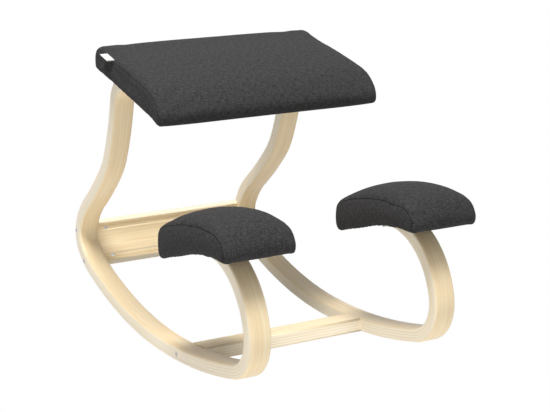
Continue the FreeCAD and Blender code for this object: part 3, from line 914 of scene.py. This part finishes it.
def mark_strip(piece: Piece, path: StripPath, grain: Grain, seed: float, thickness: float) -> None:
    """Gives each vertex its place in the laminate, for the wood's grain and glue lines.

    Args:
        piece: The wooden piece, whose outer face lies on the outer face of the runners.
        path: The runner's path, which the crossbars share.
        grain: Which way the veneers run.
        seed: Moves the pattern, so that two pieces differ.
        thickness: The piece's thickness, which is spread over the runner's.
    """
    places = coordinates(piece.data)
    along, offset = path.locate(places)
    offset = (offset - (path.thickness - thickness) / 2) * path.thickness / thickness
    across = places[:, 0]
    first, last = (along, across) if grain is Grain.ALONG_STRIP else (across, along)
    write_attribute(piece.data, "strip", "FLOAT_VECTOR", np.c_[first + seed, offset, last + seed])


@dataclass
class Runners:
    """The two bent runners, swept along one path, with the counterbores of their bolts.

    Attributes:
        width: The strip's width, across the chair.
        edge_radius: The radius of its four rounded edges.
        bore_radius: The radius of a counterbore.
        bore_depth: The depth of a counterbore.
        bolt_gap: Places on one runner's bolts that are farther apart belong to two bolts.
        skin: How near the outer face a bolt's end face lies.
        sample: The sweep uses every one of this many points of the path.
        crease: Edges sharper than this many degrees stay sharp.
        seed: How far apart the two runners' grain patterns are.
    """

    path: StripPath
    finishes: Finishes
    width: float = 38.4 * MM
    edge_radius: float = 4.0 * MM
    bore_radius: float = 5.15 * MM
    bore_depth: float = 3.5 * MM
    bolt_gap: float = 20.6 * MM
    skin: float = 1 * MM
    sample: int = 3
    crease: float = 40.0
    seed: float = 0.7

    def sweep_tree(self) -> Tree:
        """Makes a tree that sweeps a round-edged rectangle along a curve.

        Returns:
            The tree.
        """
        tree, given = new_group("bent strip", {
            "Width": "NodeSocketFloat", "Thickness": "NodeSocketFloat",
            "Edge radius": "NodeSocketFloat", "Finish": "NodeSocketMaterial",
        })
        outline = add_node(tree, "GeometryNodeCurvePrimitiveQuadrilateral", {
            "Width": given.outputs["Width"], "Height": given.outputs["Thickness"],
        }, mode="RECTANGLE")
        rounded = add_node(tree, "GeometryNodeFilletCurve", {
            "Curve": outline.outputs[0], "Radius": given.outputs["Edge radius"], "Count": 4,
        }, mode="POLY")
        swept = add_node(tree, "GeometryNodeCurveToMesh", {
            "Curve": given.outputs["Geometry"], "Profile Curve": rounded.outputs[0], "Fill Caps": True,
        })
        close_group(tree, swept.outputs[0], given.outputs["Finish"])
        return tree

    def bolt_heads(self, side: Side) -> list[Vector]:
        """Finds the bolt heads on one runner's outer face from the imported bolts.

        Args:
            side: Which runner.

        Returns:
            The middle of each head.
        """
        centres = []
        for node in ("rear_crossbar_bolts", "front_crossbar_bolts"):
            places = coordinates(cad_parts[node].data)
            face = places[side.value * places[:, 0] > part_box("left_runner")[1].x - self.skin]
            while len(face):
                near = np.hypot(face[:, 1] - face[0, 1], face[:, 2] - face[0, 2]) < self.bolt_gap
                centres.append(Vector((face[near].min(axis=0) + face[near].max(axis=0)) / 2))
                face = face[~near]
        return centres

    def bore(self, piece: Piece, side: Side) -> None:
        """Cuts the counterbores of the bolts into a runner's outer face.

        Args:
            piece: The runner.
            side: Which runner it is.
        """
        face_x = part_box("left_runner")[1].x * side.value
        mesh = bpy.data.meshes.new("counterbores")
        with editing(mesh) as work:
            for centre in self.bolt_heads(side):
                cylinder = bmesh.ops.create_cone(work, cap_ends=True, segments=40, radius1=self.bore_radius,
                                                 radius2=self.bore_radius, depth=2 * self.bore_depth)
                for vertex in cylinder["verts"]:
                    x, y, z = vertex.co
                    vertex.co = (face_x + z, centre.y + x, centre.z + y)
            bmesh.ops.recalc_face_normals(work, faces=work.faces)
        cutter = link_mesh(mesh, "counterbores")
        modified(piece, "BOOLEAN", operation="DIFFERENCE", solver="EXACT", object=cutter)
        bpy.data.objects.remove(cutter)

    def build(self) -> None:
        """Makes both runners."""
        tree = self.sweep_tree()
        rows = self.path.rows[:: self.sample]
        if (len(self.path.rows) - 1) % self.sample:
            rows = np.vstack([rows, self.path.rows[-1:]])
        for side in Side:
            low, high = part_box(side.word + "_runner")
            points = np.c_[np.full(len(rows), (low.x + high.x) / 2), rows[:, 1:3]]
            piece = run_group(poly_curve(side.word + "_laminated_runner", points), tree, {
                "Width": self.width, "Thickness": self.path.thickness,
                "Edge radius": self.edge_radius, "Finish": self.finishes.birch,
            })
            with editing(piece.data) as work:
                bmesh.ops.remove_doubles(work, verts=work.verts, dist=WELD)
                bmesh.ops.recalc_face_normals(work, faces=work.faces)
            self.bore(piece, side)
            mark_strip(piece, self.path, Grain.ALONG_STRIP, side.value * self.seed, self.path.thickness)
            smooth_by_angle(piece.data, self.crease)
            finish_piece(piece, self.finishes.birch, [side.word + "_runner"])


@dataclass
class Crossbars:
    """The two boards between the runners, with grain across the chair.

    Attributes:
        rear_thickness: The rear board's thickness; the front bar is as thick as the runners.
        crease: Edges sharper than this many degrees stay sharp.
        seed: How far apart the two boards' grain patterns are.
    """

    path: StripPath
    finishes: Finishes
    rear_thickness: float = 14.0 * MM
    crease: float = 30.0
    seed: float = 0.9

    def build(self) -> None:
        """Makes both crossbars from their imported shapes."""
        thicknesses = {"rear_crossbar": self.rear_thickness, "front_crossbar": self.path.thickness}
        for number, (node, thickness) in enumerate(thicknesses.items(), start=2):
            piece = merged_copy(node, "laminated_" + node)
            mark_strip(piece, self.path, Grain.ACROSS_CHAIR, number * self.seed, thickness)
            smooth_by_angle(piece.data, self.crease)
            finish_piece(piece, self.finishes.birch, [node])


# Upholstery


def soften(line: np.ndarray, passes: int) -> np.ndarray:
    """Evens out a line of points and keeps its ends.

    Args:
        line: One row of x, y, z for each point.
        passes: How often each point is moved towards its neighbours.

    Returns:
        The new line.
    """
    line = line.copy()
    for _ in range(passes):
        line[1:-1] = (line[:-2] + 2 * line[1:-1] + line[2:]) / 4
    return line


def densify(line: np.ndarray, spacing: float) -> np.ndarray:
    """Lays points at an even spacing along a line.

    Args:
        line: One row of x, y, z for each point.
        spacing: The distance between the new points.

    Returns:
        The new points.
    """
    steps = np.r_[0, np.cumsum(np.linalg.norm(np.diff(line, axis=0), axis=1))]
    wanted = np.linspace(0, steps[-1], max(2, int(steps[-1] / spacing)))
    return np.column_stack([np.interp(wanted, steps, line[:, axis]) for axis in range(3)])


def nearest_points(places: np.ndarray, line: np.ndarray, chunk: int = 2000) -> tuple[np.ndarray, np.ndarray]:
    """Finds the nearest point of a line for each place.

    Args:
        places: One row of x, y, z for each place.
        line: One row of x, y, z for each point of the line.
        chunk: How many places are looked up at a time.

    Returns:
        The distance to the nearest point, and that point's number.
    """
    distance = np.empty(len(places))
    nearest = np.empty(len(places), int)
    for start in range(0, len(places), chunk):
        gaps = ((places[start : start + chunk, None, :] - line[None]) ** 2).sum(axis=2)
        nearest[start : start + chunk] = gaps.argmin(axis=1)
        distance[start : start + chunk] = np.sqrt(gaps.min(axis=1))
    return distance, nearest


@dataclass
class Lockstitch:
    """A row of short thread stitches.

    Attributes:
        finishes: The chair's finishes.
        spacing: The distance from one stitch to the next.
        stitch: The length of a stitch.
        yarn: The thickness of the thread.
        tree: The tree that lays the stitches along a curve.
    """

    finishes: Finishes
    spacing: float = 4.2 * MM
    stitch: float = 3.0 * MM
    yarn: float = 0.28 * MM
    tree: Tree = field(init=False)

    def __post_init__(self) -> None:
        """Makes the tree."""
        self.tree, given = new_group("lockstitch", {
            "Spacing": "NodeSocketFloat", "Stitch": "NodeSocketFloat",
            "Yarn": "NodeSocketFloat", "Finish": "NodeSocketMaterial",
        })
        points = add_node(self.tree, "GeometryNodeCurveToPoints", {
            "Curve": given.outputs["Geometry"], "Length": given.outputs["Spacing"],
        }, mode="LENGTH")
        single = add_node(self.tree, "GeometryNodeMeshIcoSphere", {"Radius": 0.5, "Subdivisions": 2})
        size = add_node(self.tree, "ShaderNodeCombineXYZ", {
            0: given.outputs["Yarn"], 1: given.outputs["Yarn"], 2: given.outputs["Stitch"],
        })
        laid = add_node(self.tree, "GeometryNodeInstanceOnPoints", {
            "Points": points.outputs[0], "Instance": single.outputs[0],
            "Rotation": points.outputs["Rotation"], "Scale": size.outputs[0],
        })
        close_group(self.tree, laid.outputs[0], given.outputs["Finish"])

    def sew(self, name: str, line: np.ndarray) -> None:
        """Lays the stitches along a seam.

        Args:
            name: The name of the row of stitches.
            line: The points that they follow.
        """
        thread = run_group(poly_curve(name, line), self.tree, {
            "Spacing": self.spacing, "Stitch": self.stitch, "Yarn": self.yarn, "Finish": self.finishes.thread,
        })
        thread.data.shade_smooth()
        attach(thread, BODY)
        log.info("%s: %d faces of thread", thread.name, len(thread.data.polygons))


@dataclass
class Cushion:
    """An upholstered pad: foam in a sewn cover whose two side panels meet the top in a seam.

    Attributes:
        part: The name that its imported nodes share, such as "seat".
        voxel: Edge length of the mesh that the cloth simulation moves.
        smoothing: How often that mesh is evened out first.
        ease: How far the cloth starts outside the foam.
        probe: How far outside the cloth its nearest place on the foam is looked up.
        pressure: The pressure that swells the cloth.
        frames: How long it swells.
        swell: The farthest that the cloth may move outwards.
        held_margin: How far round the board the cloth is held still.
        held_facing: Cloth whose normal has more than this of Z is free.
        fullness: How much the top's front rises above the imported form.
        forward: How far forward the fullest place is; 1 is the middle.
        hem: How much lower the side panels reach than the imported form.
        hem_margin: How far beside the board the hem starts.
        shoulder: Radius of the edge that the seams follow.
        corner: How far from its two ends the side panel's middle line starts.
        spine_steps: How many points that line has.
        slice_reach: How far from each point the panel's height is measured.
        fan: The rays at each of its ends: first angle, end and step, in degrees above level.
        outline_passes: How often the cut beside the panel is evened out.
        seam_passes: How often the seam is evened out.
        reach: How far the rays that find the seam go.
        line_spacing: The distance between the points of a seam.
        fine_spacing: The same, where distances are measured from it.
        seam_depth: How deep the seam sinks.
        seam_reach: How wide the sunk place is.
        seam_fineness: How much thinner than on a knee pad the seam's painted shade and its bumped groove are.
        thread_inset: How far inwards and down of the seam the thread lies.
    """

    part: str
    finishes: Finishes
    voxel: float = 4 * MM
    smoothing: int = 3
    ease: float = 2.2 * MM
    probe: float = 5 * MM
    pressure: float = 4.0
    frames: int = 20
    swell: float = 2.0 * MM
    held_margin: float = 4 * MM
    held_facing: float = 0.25
    fullness: float = 0.0
    forward: float = 1.3
    hem: float = 0.0
    hem_margin: float = 2 * MM
    shoulder: float = 8 * MM
    corner: float = 16 * MM
    spine_steps: int = 60
    slice_reach: float = 4 * MM
    fan: tuple[int, int, int] = (-50, 90, 5)
    outline_passes: int = 4
    seam_passes: int = 6
    reach: float = 80 * MM
    line_spacing: float = 2 * MM
    fine_spacing: float = 0.5 * MM
    seam_depth: float = 0.8 * MM
    seam_reach: float = 2.0 * MM
    seam_fineness: float = 1.0
    thread_inset: tuple[float, float] = (0.2 * MM, 0.6 * MM)

    def base(self) -> Piece:
        """Makes the foam's form as an even mesh, grown by the thickness of the cover.

        Returns:
            The cushion.
        """
        piece = merged_copy(self.part + "_foam", self.part + "_cushion")
        foam = surface(piece)
        modified(piece, "REMESH", mode="VOXEL", voxel_size=self.voxel)
        with editing(piece.data) as work:
            for _ in range(self.smoothing):
                bmesh.ops.smooth_vert(work, verts=work.verts, factor=0.5, use_axis_x=True, use_axis_y=True,
                                      use_axis_z=True)
        outside = coordinates(piece.data) + self.probe * vertex_normals(piece.data)
        foot = np.array([foam.find_nearest(Vector(place))[0] for place in outside])
        away = outside - foot
        away /= np.maximum(np.linalg.norm(away, axis=1, keepdims=True), TINY)
        set_coordinates(piece.data, foot + self.ease * away)
        return piece

    def held(self, piece: Piece) -> np.ndarray:
        """Finds the vertices that the board holds still: those that face down or line the board's space.

        Args:
            piece: The cushion.

        Returns:
            True for each held vertex.
        """
        low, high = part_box(self.part + "_board")
        places = coordinates(piece.data)
        margin = self.held_margin
        inside = ((places[:, 0] > low.x - margin) & (places[:, 0] < high.x + margin)
                  & (places[:, 1] > low.y - margin) & (places[:, 1] < high.y + margin))
        return inside & (vertex_normals(piece.data)[:, 2] < self.held_facing)

    def inflate(self, piece: Piece) -> None:
        """Lets the cover swell under a little pressure, up to its limit.

        Args:
            piece: The cushion.
        """
        before = coordinates(piece.data)
        group = piece.vertex_groups.new(name="held")
        group.add(np.flatnonzero(self.held(piece)).tolist(), 1.0, "REPLACE")
        cloth = piece.modifiers.new("cover", "CLOTH")
        cloth.settings.vertex_group_mass = group.name
        cloth.settings.use_pressure = True
        cloth.settings.uniform_pressure_force = self.pressure
        cloth.settings.effector_weights.gravity = 0.0
        cloth.point_cache.frame_start = 1
        cloth.point_cache.frame_end = self.frames
        scene = bpy.context.scene
        for number in range(1, self.frames + 1):
            scene.frame_set(number)
        applied(piece)
        scene.frame_set(1)
        moved = coordinates(piece.data) - before
        length = np.linalg.norm(moved, axis=1, keepdims=True)
        moved *= np.minimum(1.0, self.swell / np.maximum(length, TINY))
        set_coordinates(piece.data, before + moved)
        piece.vertex_groups.clear()

    def plump(self, piece: Piece) -> None:
        """Fills out the front of the top and lets the side panels reach lower.

        Args:
            piece: The cushion.
        """
        places = coordinates(piece.data)
        upwards = vertex_normals(piece.data)[:, 2]
        rear, front = places[:, 1].max(), places[:, 1].min()
        share = np.clip((rear - places[:, 1]) / (rear - front), 0, 1)
        rise = self.fullness * np.sin(math.pi * share ** self.forward) * np.clip(upwards, 0, 1)
        low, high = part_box(self.part + "_board")
        beside = (places[:, 0] < low.x - self.hem_margin) | (places[:, 0] > high.x + self.hem_margin)
        drop = self.hem * np.clip(-upwards, 0, 1) * beside
        places[:, 2] += rise - drop
        set_coordinates(piece.data, places)

    def outline(self, piece: Piece, side: Side, inner_x: float) -> np.ndarray:
        """Cuts the cushion beside one side panel and walks over its rear, top and front.

        Args:
            piece: The cushion.
            side: Which side panel.
            inner_x: Where the cut is.

        Returns:
            The points of the cut, from the lower rear corner over the top to the lower front corner.
        """
        cover = surface(piece)
        places = coordinates(piece.data)
        panel = places[(places[:, 0] - inner_x) * side.value > 0]
        rear, front = panel[:, 1].max() - self.corner, panel[:, 1].min() + self.corner
        spine = []
        for y in np.linspace(rear, front, self.spine_steps):
            heights = panel[np.abs(panel[:, 1] - y) < self.slice_reach][:, 2]
            spine.append((y, (heights.min() + heights.max()) / 2))
        fan = np.radians(np.arange(*self.fan))
        rays = [(spine[0], (math.cos(a), math.sin(a))) for a in fan]
        rays += [(point, (0.0, 1.0)) for point in spine]
        rays += [(spine[-1], (-math.cos(a), math.sin(a))) for a in fan[::-1]]
        hits = [cover.ray_cast(Vector((inner_x, *start)), Vector((0.0, *way)), self.reach)[0] for start, way in rays]
        return np.array([hit for hit in hits if hit is not None])

    def seam_points(self, piece: Piece, side: Side) -> np.ndarray:
        """Walks along the shoulder between one side panel and the wrap-around panel.

        Args:
            piece: The cushion.
            side: Which side panel.

        Returns:
            Points on the surface, from the lower rear corner over the top to the lower front corner.
        """
        cover = surface(piece)
        edge = side.value * (side.value * coordinates(piece.data)[:, 0]).max()
        inner_x = edge - side.value * self.shoulder
        line = soften(densify(self.outline(piece, side, inner_x), self.line_spacing), self.outline_passes)
        ahead = np.gradient(line, axis=0)
        ahead /= np.linalg.norm(ahead, axis=1, keepdims=True)
        points = []
        for (_, y, z), (_, ahead_y, ahead_z) in zip(line, ahead):
            outwards = Vector((side.value, ahead_z, -ahead_y)).normalized()
            centre = Vector((inner_x, y - self.shoulder * ahead_z, z + self.shoulder * ahead_y))
            hit, _, _, _ = cover.ray_cast(centre + outwards * self.reach, -outwards, self.reach)
            if hit is not None:
                points.append(hit)
        return soften(densify(np.array(points), self.line_spacing), self.seam_passes)

    def sink(self, piece: Piece, lines: dict[Side, np.ndarray]) -> None:
        """Sinks the seams into the surface and stores each vertex's distance from them.

        Args:
            piece: The cushion.
            lines: The points of the seam at each side.
        """
        places = coordinates(piece.data)
        signed = np.full(len(places), 1.0)
        for side, line in lines.items():
            dense = densify(line, self.fine_spacing)
            distance, nearest = nearest_points(places, dense)
            beyond = (places[:, 0] - dense[nearest, 0]) * side.value
            closer = distance < np.abs(signed)
            signed = np.where(closer, np.where(beyond > 0, distance, -distance), signed)
        depth = self.seam_depth * np.exp(-((signed / self.seam_reach) ** 2))
        set_coordinates(piece.data, places - depth[:, None] * vertex_normals(piece.data))
        # The stored distance places the seam's painted shade and bump in the cloth material
        write_attribute(piece.data, "seam", "FLOAT", signed * self.seam_fineness)

    def lay_cloth(self, piece: Piece, course: np.ndarray) -> None:
        """Maps the weave in metres: each side panel flat, the wrap-around panel unrolled.

        Args:
            piece: The cushion.
            course: The points of one seam, which the wrap-around panel follows.
        """
        mesh = piece.data
        places = coordinates(mesh)
        seam_flat = densify(course, self.fine_spacing)
        along = np.r_[0, np.cumsum(np.linalg.norm(np.diff(seam_flat, axis=0), axis=1))]
        flat = places.copy()
        flat[:, 0] = seam_flat[:, 0] = 0
        _, nearest = nearest_points(flat, seam_flat)
        ahead = np.diff(seam_flat, axis=0, append=seam_flat[-1:] * 2 - seam_flat[-2:-1])
        ahead /= np.linalg.norm(ahead, axis=1, keepdims=True)
        unrolled = along[nearest] + ((flat - seam_flat[nearest]) * ahead[nearest]).sum(axis=1)
        seam = np.empty(len(mesh.vertices), np.float32)
        mesh.attributes["seam"].data.foreach_get("value", seam)
        corners = np.empty(len(mesh.loops), np.int32)
        mesh.loops.foreach_get("vertex_index", corners)
        totals = np.empty(len(mesh.polygons), np.int32)
        mesh.polygons.foreach_get("loop_total", totals)
        owner = np.repeat(np.arange(len(totals)), totals)
        is_side = (np.bincount(owner, seam[corners]) / totals > 0)[owner]
        u = np.where(is_side, places[corners, 1], places[corners, 0])
        v = np.where(is_side, places[corners, 2], unrolled[corners])
        layer = mesh.uv_layers.new(name="cloth")
        layer.data.foreach_set("uv", np.c_[u, v].astype(np.float32).ravel())

    def build(self, stitches: Lockstitch) -> Piece:
        """Makes the cushion and its stitches.

        Args:
            stitches: What sews a line.

        Returns:
            The cushion.
        """
        piece = self.base()
        self.inflate(piece)
        self.plump(piece)
        modified(piece, "SMOOTH", factor=0.5, iterations=4)
        modified(piece, "SUBSURF", levels=1, render_levels=1)
        lines = {side: self.seam_points(piece, side) for side in Side}
        self.sink(piece, lines)
        self.lay_cloth(piece, lines[Side.LEFT])
        piece.data.shade_smooth()
        finish_piece(piece, self.finishes.upholstery, [self.part + "_cover", self.part + "_foam"])
        inwards, down = self.thread_inset
        for side, line in lines.items():
            inner = line - np.array((side.value * inwards, 0, down))
            stitches.sew(f"{self.part}_{side.word}_seam", densify(inner, self.line_spacing))
        return piece


@dataclass
class Lining:
    """The thin black cloth that closes the underside of a board.

    Attributes:
        part: The name that the board's and the lining's nodes share.
        gap: How far under the board the cloth lies.
        cloth: Its thickness.
        cell: The size of its faces.
        below: How far under the board the rays that find it start.
        facing: The board's underside has a normal with less than this of Z.
    """

    part: str
    finishes: Finishes
    gap: float = 0.15 * MM
    cloth: float = 0.5 * MM
    cell: float = 6 * MM
    below: float = 50 * MM
    facing: float = -0.5

    def build(self) -> None:
        """Lays a grid of cloth against the underside of the board."""
        low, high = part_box(self.part + "_lining")
        board = merged_copy(self.part + "_board", "board_to_measure")
        wood = surface(board)
        columns = max(2, round((high.x - low.x) / self.cell))
        rows = max(2, round((high.y - low.y) / self.cell))
        mesh = bpy.data.meshes.new(self.part + "_lining_cloth")
        with editing(mesh) as work:
            grid = [[None] * (columns + 1) for _ in range(rows + 1)]
            for row in range(rows + 1):
                for column in range(columns + 1):
                    start = Vector((low.x + (high.x - low.x) * column / columns,
                                    low.y + (high.y - low.y) * row / rows, low.z - self.below))
                    hit, normal, _, _ = wood.ray_cast(start, Vector((0, 0, 1)))
                    if hit is not None and normal.z < self.facing:
                        grid[row][column] = work.verts.new(hit + normal * self.gap)
            for near, far in zip(grid, grid[1:]):
                for ring in zip(near, near[1:], far[1:], far):
                    if None not in ring:
                        work.faces.new(ring)
            bmesh.ops.recalc_face_normals(work, faces=work.faces)
            area = sum(face.calc_area() for face in work.faces)
            if sum(face.normal.z for face in work.faces) > 0:
                bmesh.ops.reverse_faces(work, faces=work.faces)
        bpy.data.objects.remove(board)
        piece = link_mesh(mesh, self.part + "_lining_cloth")
        modified(piece, "SOLIDIFY", thickness=self.cloth, offset=1.0)
        piece.data.shade_smooth()
        finish_piece(piece, self.finishes.lining, [self.part + "_lining"])


@dataclass
class BlankTab:
    """A short white tape, folded over and caught in the seat's side seam. Nothing is printed on it.

    Attributes:
        tape: The thickness of the tape.
        gap: The gap between its two layers.
        caught: How far it reaches into the seam.
        end_reach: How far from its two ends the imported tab's heights are read.
        steps: How many faces it has along the seam.
        turn_steps: How many faces its fold has.
        crease: Edges sharper than this many degrees stay sharp.
    """

    finishes: Finishes
    tape: float = 0.45 * MM
    gap: float = 0.9 * MM
    caught: float = 1.5 * MM
    end_reach: float = 1 * MM
    steps: int = 8
    turn_steps: int = 8
    crease: float = 50.0

    def build(self, seat: Piece) -> None:
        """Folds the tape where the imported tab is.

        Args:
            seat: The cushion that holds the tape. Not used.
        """
        source = coordinates(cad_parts["blank_tab"].data)
        low, high = source.min(axis=0), source.max(axis=0)
        rear = source[source[:, 1] > high[1] - self.end_reach][:, 2].mean()
        fore = source[source[:, 1] < low[1] + self.end_reach][:, 2].mean()
        radius = (self.gap + self.tape) / 2
        fold, end = low[0] + radius, high[0] + self.caught
        turns = np.linspace(0, math.pi, self.turn_steps + 1)[1:-1]
        profile = [(end, radius), (fold, radius)]
        profile += [(fold - radius * math.sin(a), radius * math.cos(a)) for a in turns]
        profile += [(fold, -radius), (end, -radius)]
        mesh = bpy.data.meshes.new("folded_tab")
        with editing(mesh) as work:
            rings = []
            for share in (step / self.steps for step in range(self.steps + 1)):
                y = low[1] + (high[1] - low[1]) * share
                z = fore + (rear - fore) * share
                rings.append([work.verts.new((x, y, z + lift)) for x, lift in profile])
            for first, second in zip(rings, rings[1:]):
                for corners in zip(first, first[1:], second[1:], second):
                    work.faces.new(corners)
            bmesh.ops.recalc_face_normals(work, faces=work.faces)
        piece = link_mesh(mesh, "folded_tab")
        modified(piece, "SOLIDIFY", thickness=self.tape, offset=0.0)
        smooth_by_angle(piece.data, self.crease)
        finish_piece(piece, self.finishes.tape, ["blank_tab"])


# Fasteners and boards


@dataclass
class Hardware:
    """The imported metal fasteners, dowels and boards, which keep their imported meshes."""

    finishes: Finishes
    steel: tuple[str, ...] = (
        "rear_crossbar_bolts", "rear_barrel_nuts", "front_crossbar_bolts", "front_barrel_nuts",
        "seat_screws", "seat_washers", "seat_tee_nuts", "knee_screws", "knee_washers", "knee_tee_nuts",
    )
    boards: tuple[str, ...] = ("seat_board", "right_knee_board", "left_knee_board")
    dowels: tuple[str, ...] = ("front_dowels",)

    def build(self) -> None:
        """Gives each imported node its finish."""
        groups = ((self.steel, self.finishes.steel), (self.boards, self.finishes.plywood),
                  (self.dowels, self.finishes.beech))
        for nodes, material in groups:
            for node in nodes:
                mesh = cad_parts[node].data
                mesh.materials.clear()
                mesh.materials.append(material)
                log.info("%s: %s", node, material.name)


# Stage


@dataclass(frozen=True)
class Softbox:
    """A square lamp that points at the chair.

    Attributes:
        name: The lamp's name.
        place: Where it hangs, in metres.
        side: The length of its side, in metres.
        power: Its power in watts.
    """

    name: str
    place: tuple[float, float, float]
    side: float
    power: float

    def hang(self, target: Vector) -> None:
        """Hangs the lamp.

        Args:
            target: Where it points.
        """
        lamp = bpy.data.lights.new(self.name, "AREA")
        lamp.shape = "SQUARE"
        lamp.size = self.side
        lamp.energy = self.power
        holder = bpy.data.objects.new(self.name, lamp)
        holder.location = self.place
        holder.rotation_euler = (target - holder.location).to_track_quat("-Z", "Y").to_euler()
        bpy.context.scene.collection.objects.link(holder)


@dataclass
class Studio:
    """A plain pale floor, soft studio light, and the camera at the photograph's viewing angle."""

    yaw: float = math.radians(-29.2206)
    elevation: float = math.radians(15.0736)
    distance: float = 2566.32 * MM
    lens: float = 97.43
    sensor: float = 36.0
    target: Vector = field(default_factory=lambda: Vector((-0.02, -91.21, 252.91)) * MM)
    floor_size: float = 30.0
    floor_grey: float = 0.86
    fill_light: float = 0.2
    lamps: tuple[Softbox, ...] = (
        Softbox("key softbox", (-0.6, -0.6, 3.2), 1.2, 128.0),
        Softbox("side softbox", (-1.7, -3.1, 0.7), 1.8, 20.0),
    )

    def build(self) -> None:
        """Makes the floor, the world, the lamps and the camera."""
        self.lay_floor()
        self.light_world()
        for lamp in self.lamps:
            lamp.hang(self.target)
        self.set_camera()
        bpy.context.scene.view_settings.view_transform = "Standard"

    @staticmethod
    def white_to_camera(tree: Tree, real: Socket, white: Socket) -> Socket:
        """Shows white to the camera and in reflections, and keeps the real shader for the light.

        Args:
            tree: The floor's or the world's tree.
            real: The shader that takes part in the lighting.
            white: The shader that is seen.

        Returns:
            The mixed shader.
        """
        rays = add_node(tree, "ShaderNodeLightPath")
        seen = calculate(tree, "MAXIMUM", rays.outputs["Is Camera Ray"], rays.outputs["Is Glossy Ray"])
        return add_node(tree, "ShaderNodeMixShader", {0: seen, 1: real, 2: white}).outputs[0]

    def lay_floor(self) -> None:
        """A large pale floor, which throws light back at the chair and reads white to the camera."""
        mesh = bpy.data.meshes.new("studio_floor")
        half = self.floor_size / 2
        mesh.from_pydata([(-half, -half, 0), (half, -half, 0), (half, half, 0), (-half, half, 0)], [], [(0, 1, 2, 3)])
        material, tree, shader = new_material("matt white paper floor")
        dress(tree, shader, {"Base Color": (self.floor_grey,) * 3 + (1,), "Roughness": 1.0})
        glow = add_node(tree, "ShaderNodeEmission", {"Color": (1, 1, 1, 1), "Strength": 1.0})
        output = next(node for node in tree.nodes if node.type == "OUTPUT_MATERIAL")
        tree.links.new(self.white_to_camera(tree, shader.outputs[0], glow.outputs[0]), output.inputs["Surface"])
        mesh.materials.append(material)
        link_mesh(mesh, "studio_floor")

    def light_world(self) -> None:
        """White to the camera, and a plain grey light on the object."""
        world = bpy.data.worlds.new("studio")
        bpy.context.scene.world = world
        world.use_nodes = True
        tree = world.node_tree
        tree.nodes.clear()
        soft, white = (
            add_node(tree, "ShaderNodeBackground", {"Color": (1, 1, 1, 1), "Strength": strength}).outputs[0]
            for strength in (self.fill_light, 1.0)
        )
        add_node(tree, "ShaderNodeOutputWorld", {"Surface": self.white_to_camera(tree, soft, white)})

    def set_camera(self) -> None:
        """Puts the camera where the photograph was taken from."""
        data = bpy.data.cameras.new("photo camera")
        data.lens = self.lens
        data.sensor_width = self.sensor
        camera = bpy.data.objects.new("photo camera", data)
        back = Vector((math.sin(self.yaw) * math.cos(self.elevation),
                       -math.cos(self.yaw) * math.cos(self.elevation), math.sin(self.elevation)))
        camera.location = self.target + back * self.distance
        camera.rotation_euler = (-back).to_track_quat("-Z", "Y").to_euler()
        bpy.context.scene.collection.objects.link(camera)
        bpy.context.scene.camera = camera


def main() -> None:
    """Builds the whole scene."""
    finishes = Finishes()
    path = StripPath()
    Runners(path, finishes).build()
    Crossbars(path, finishes).build()
    Hardware(finishes).build()
    stitches = Lockstitch(finishes)
    seat = Cushion("seat", finishes, seam_fineness=2.4).build(stitches)
    for side in Side:
        Cushion(side.word + "_knee", finishes, swell=3 * MM, fullness=2.5 * MM, hem=2.5 * MM).build(stitches)
    for part in ("seat", "right_knee", "left_knee"):
        Lining(part, finishes).build()
    BlankTab(finishes).build(seat)
    Studio().build()


if __name__ == "__main__":
    logging.basicConfig(level=logging.INFO, format="%(message)s")
    main()
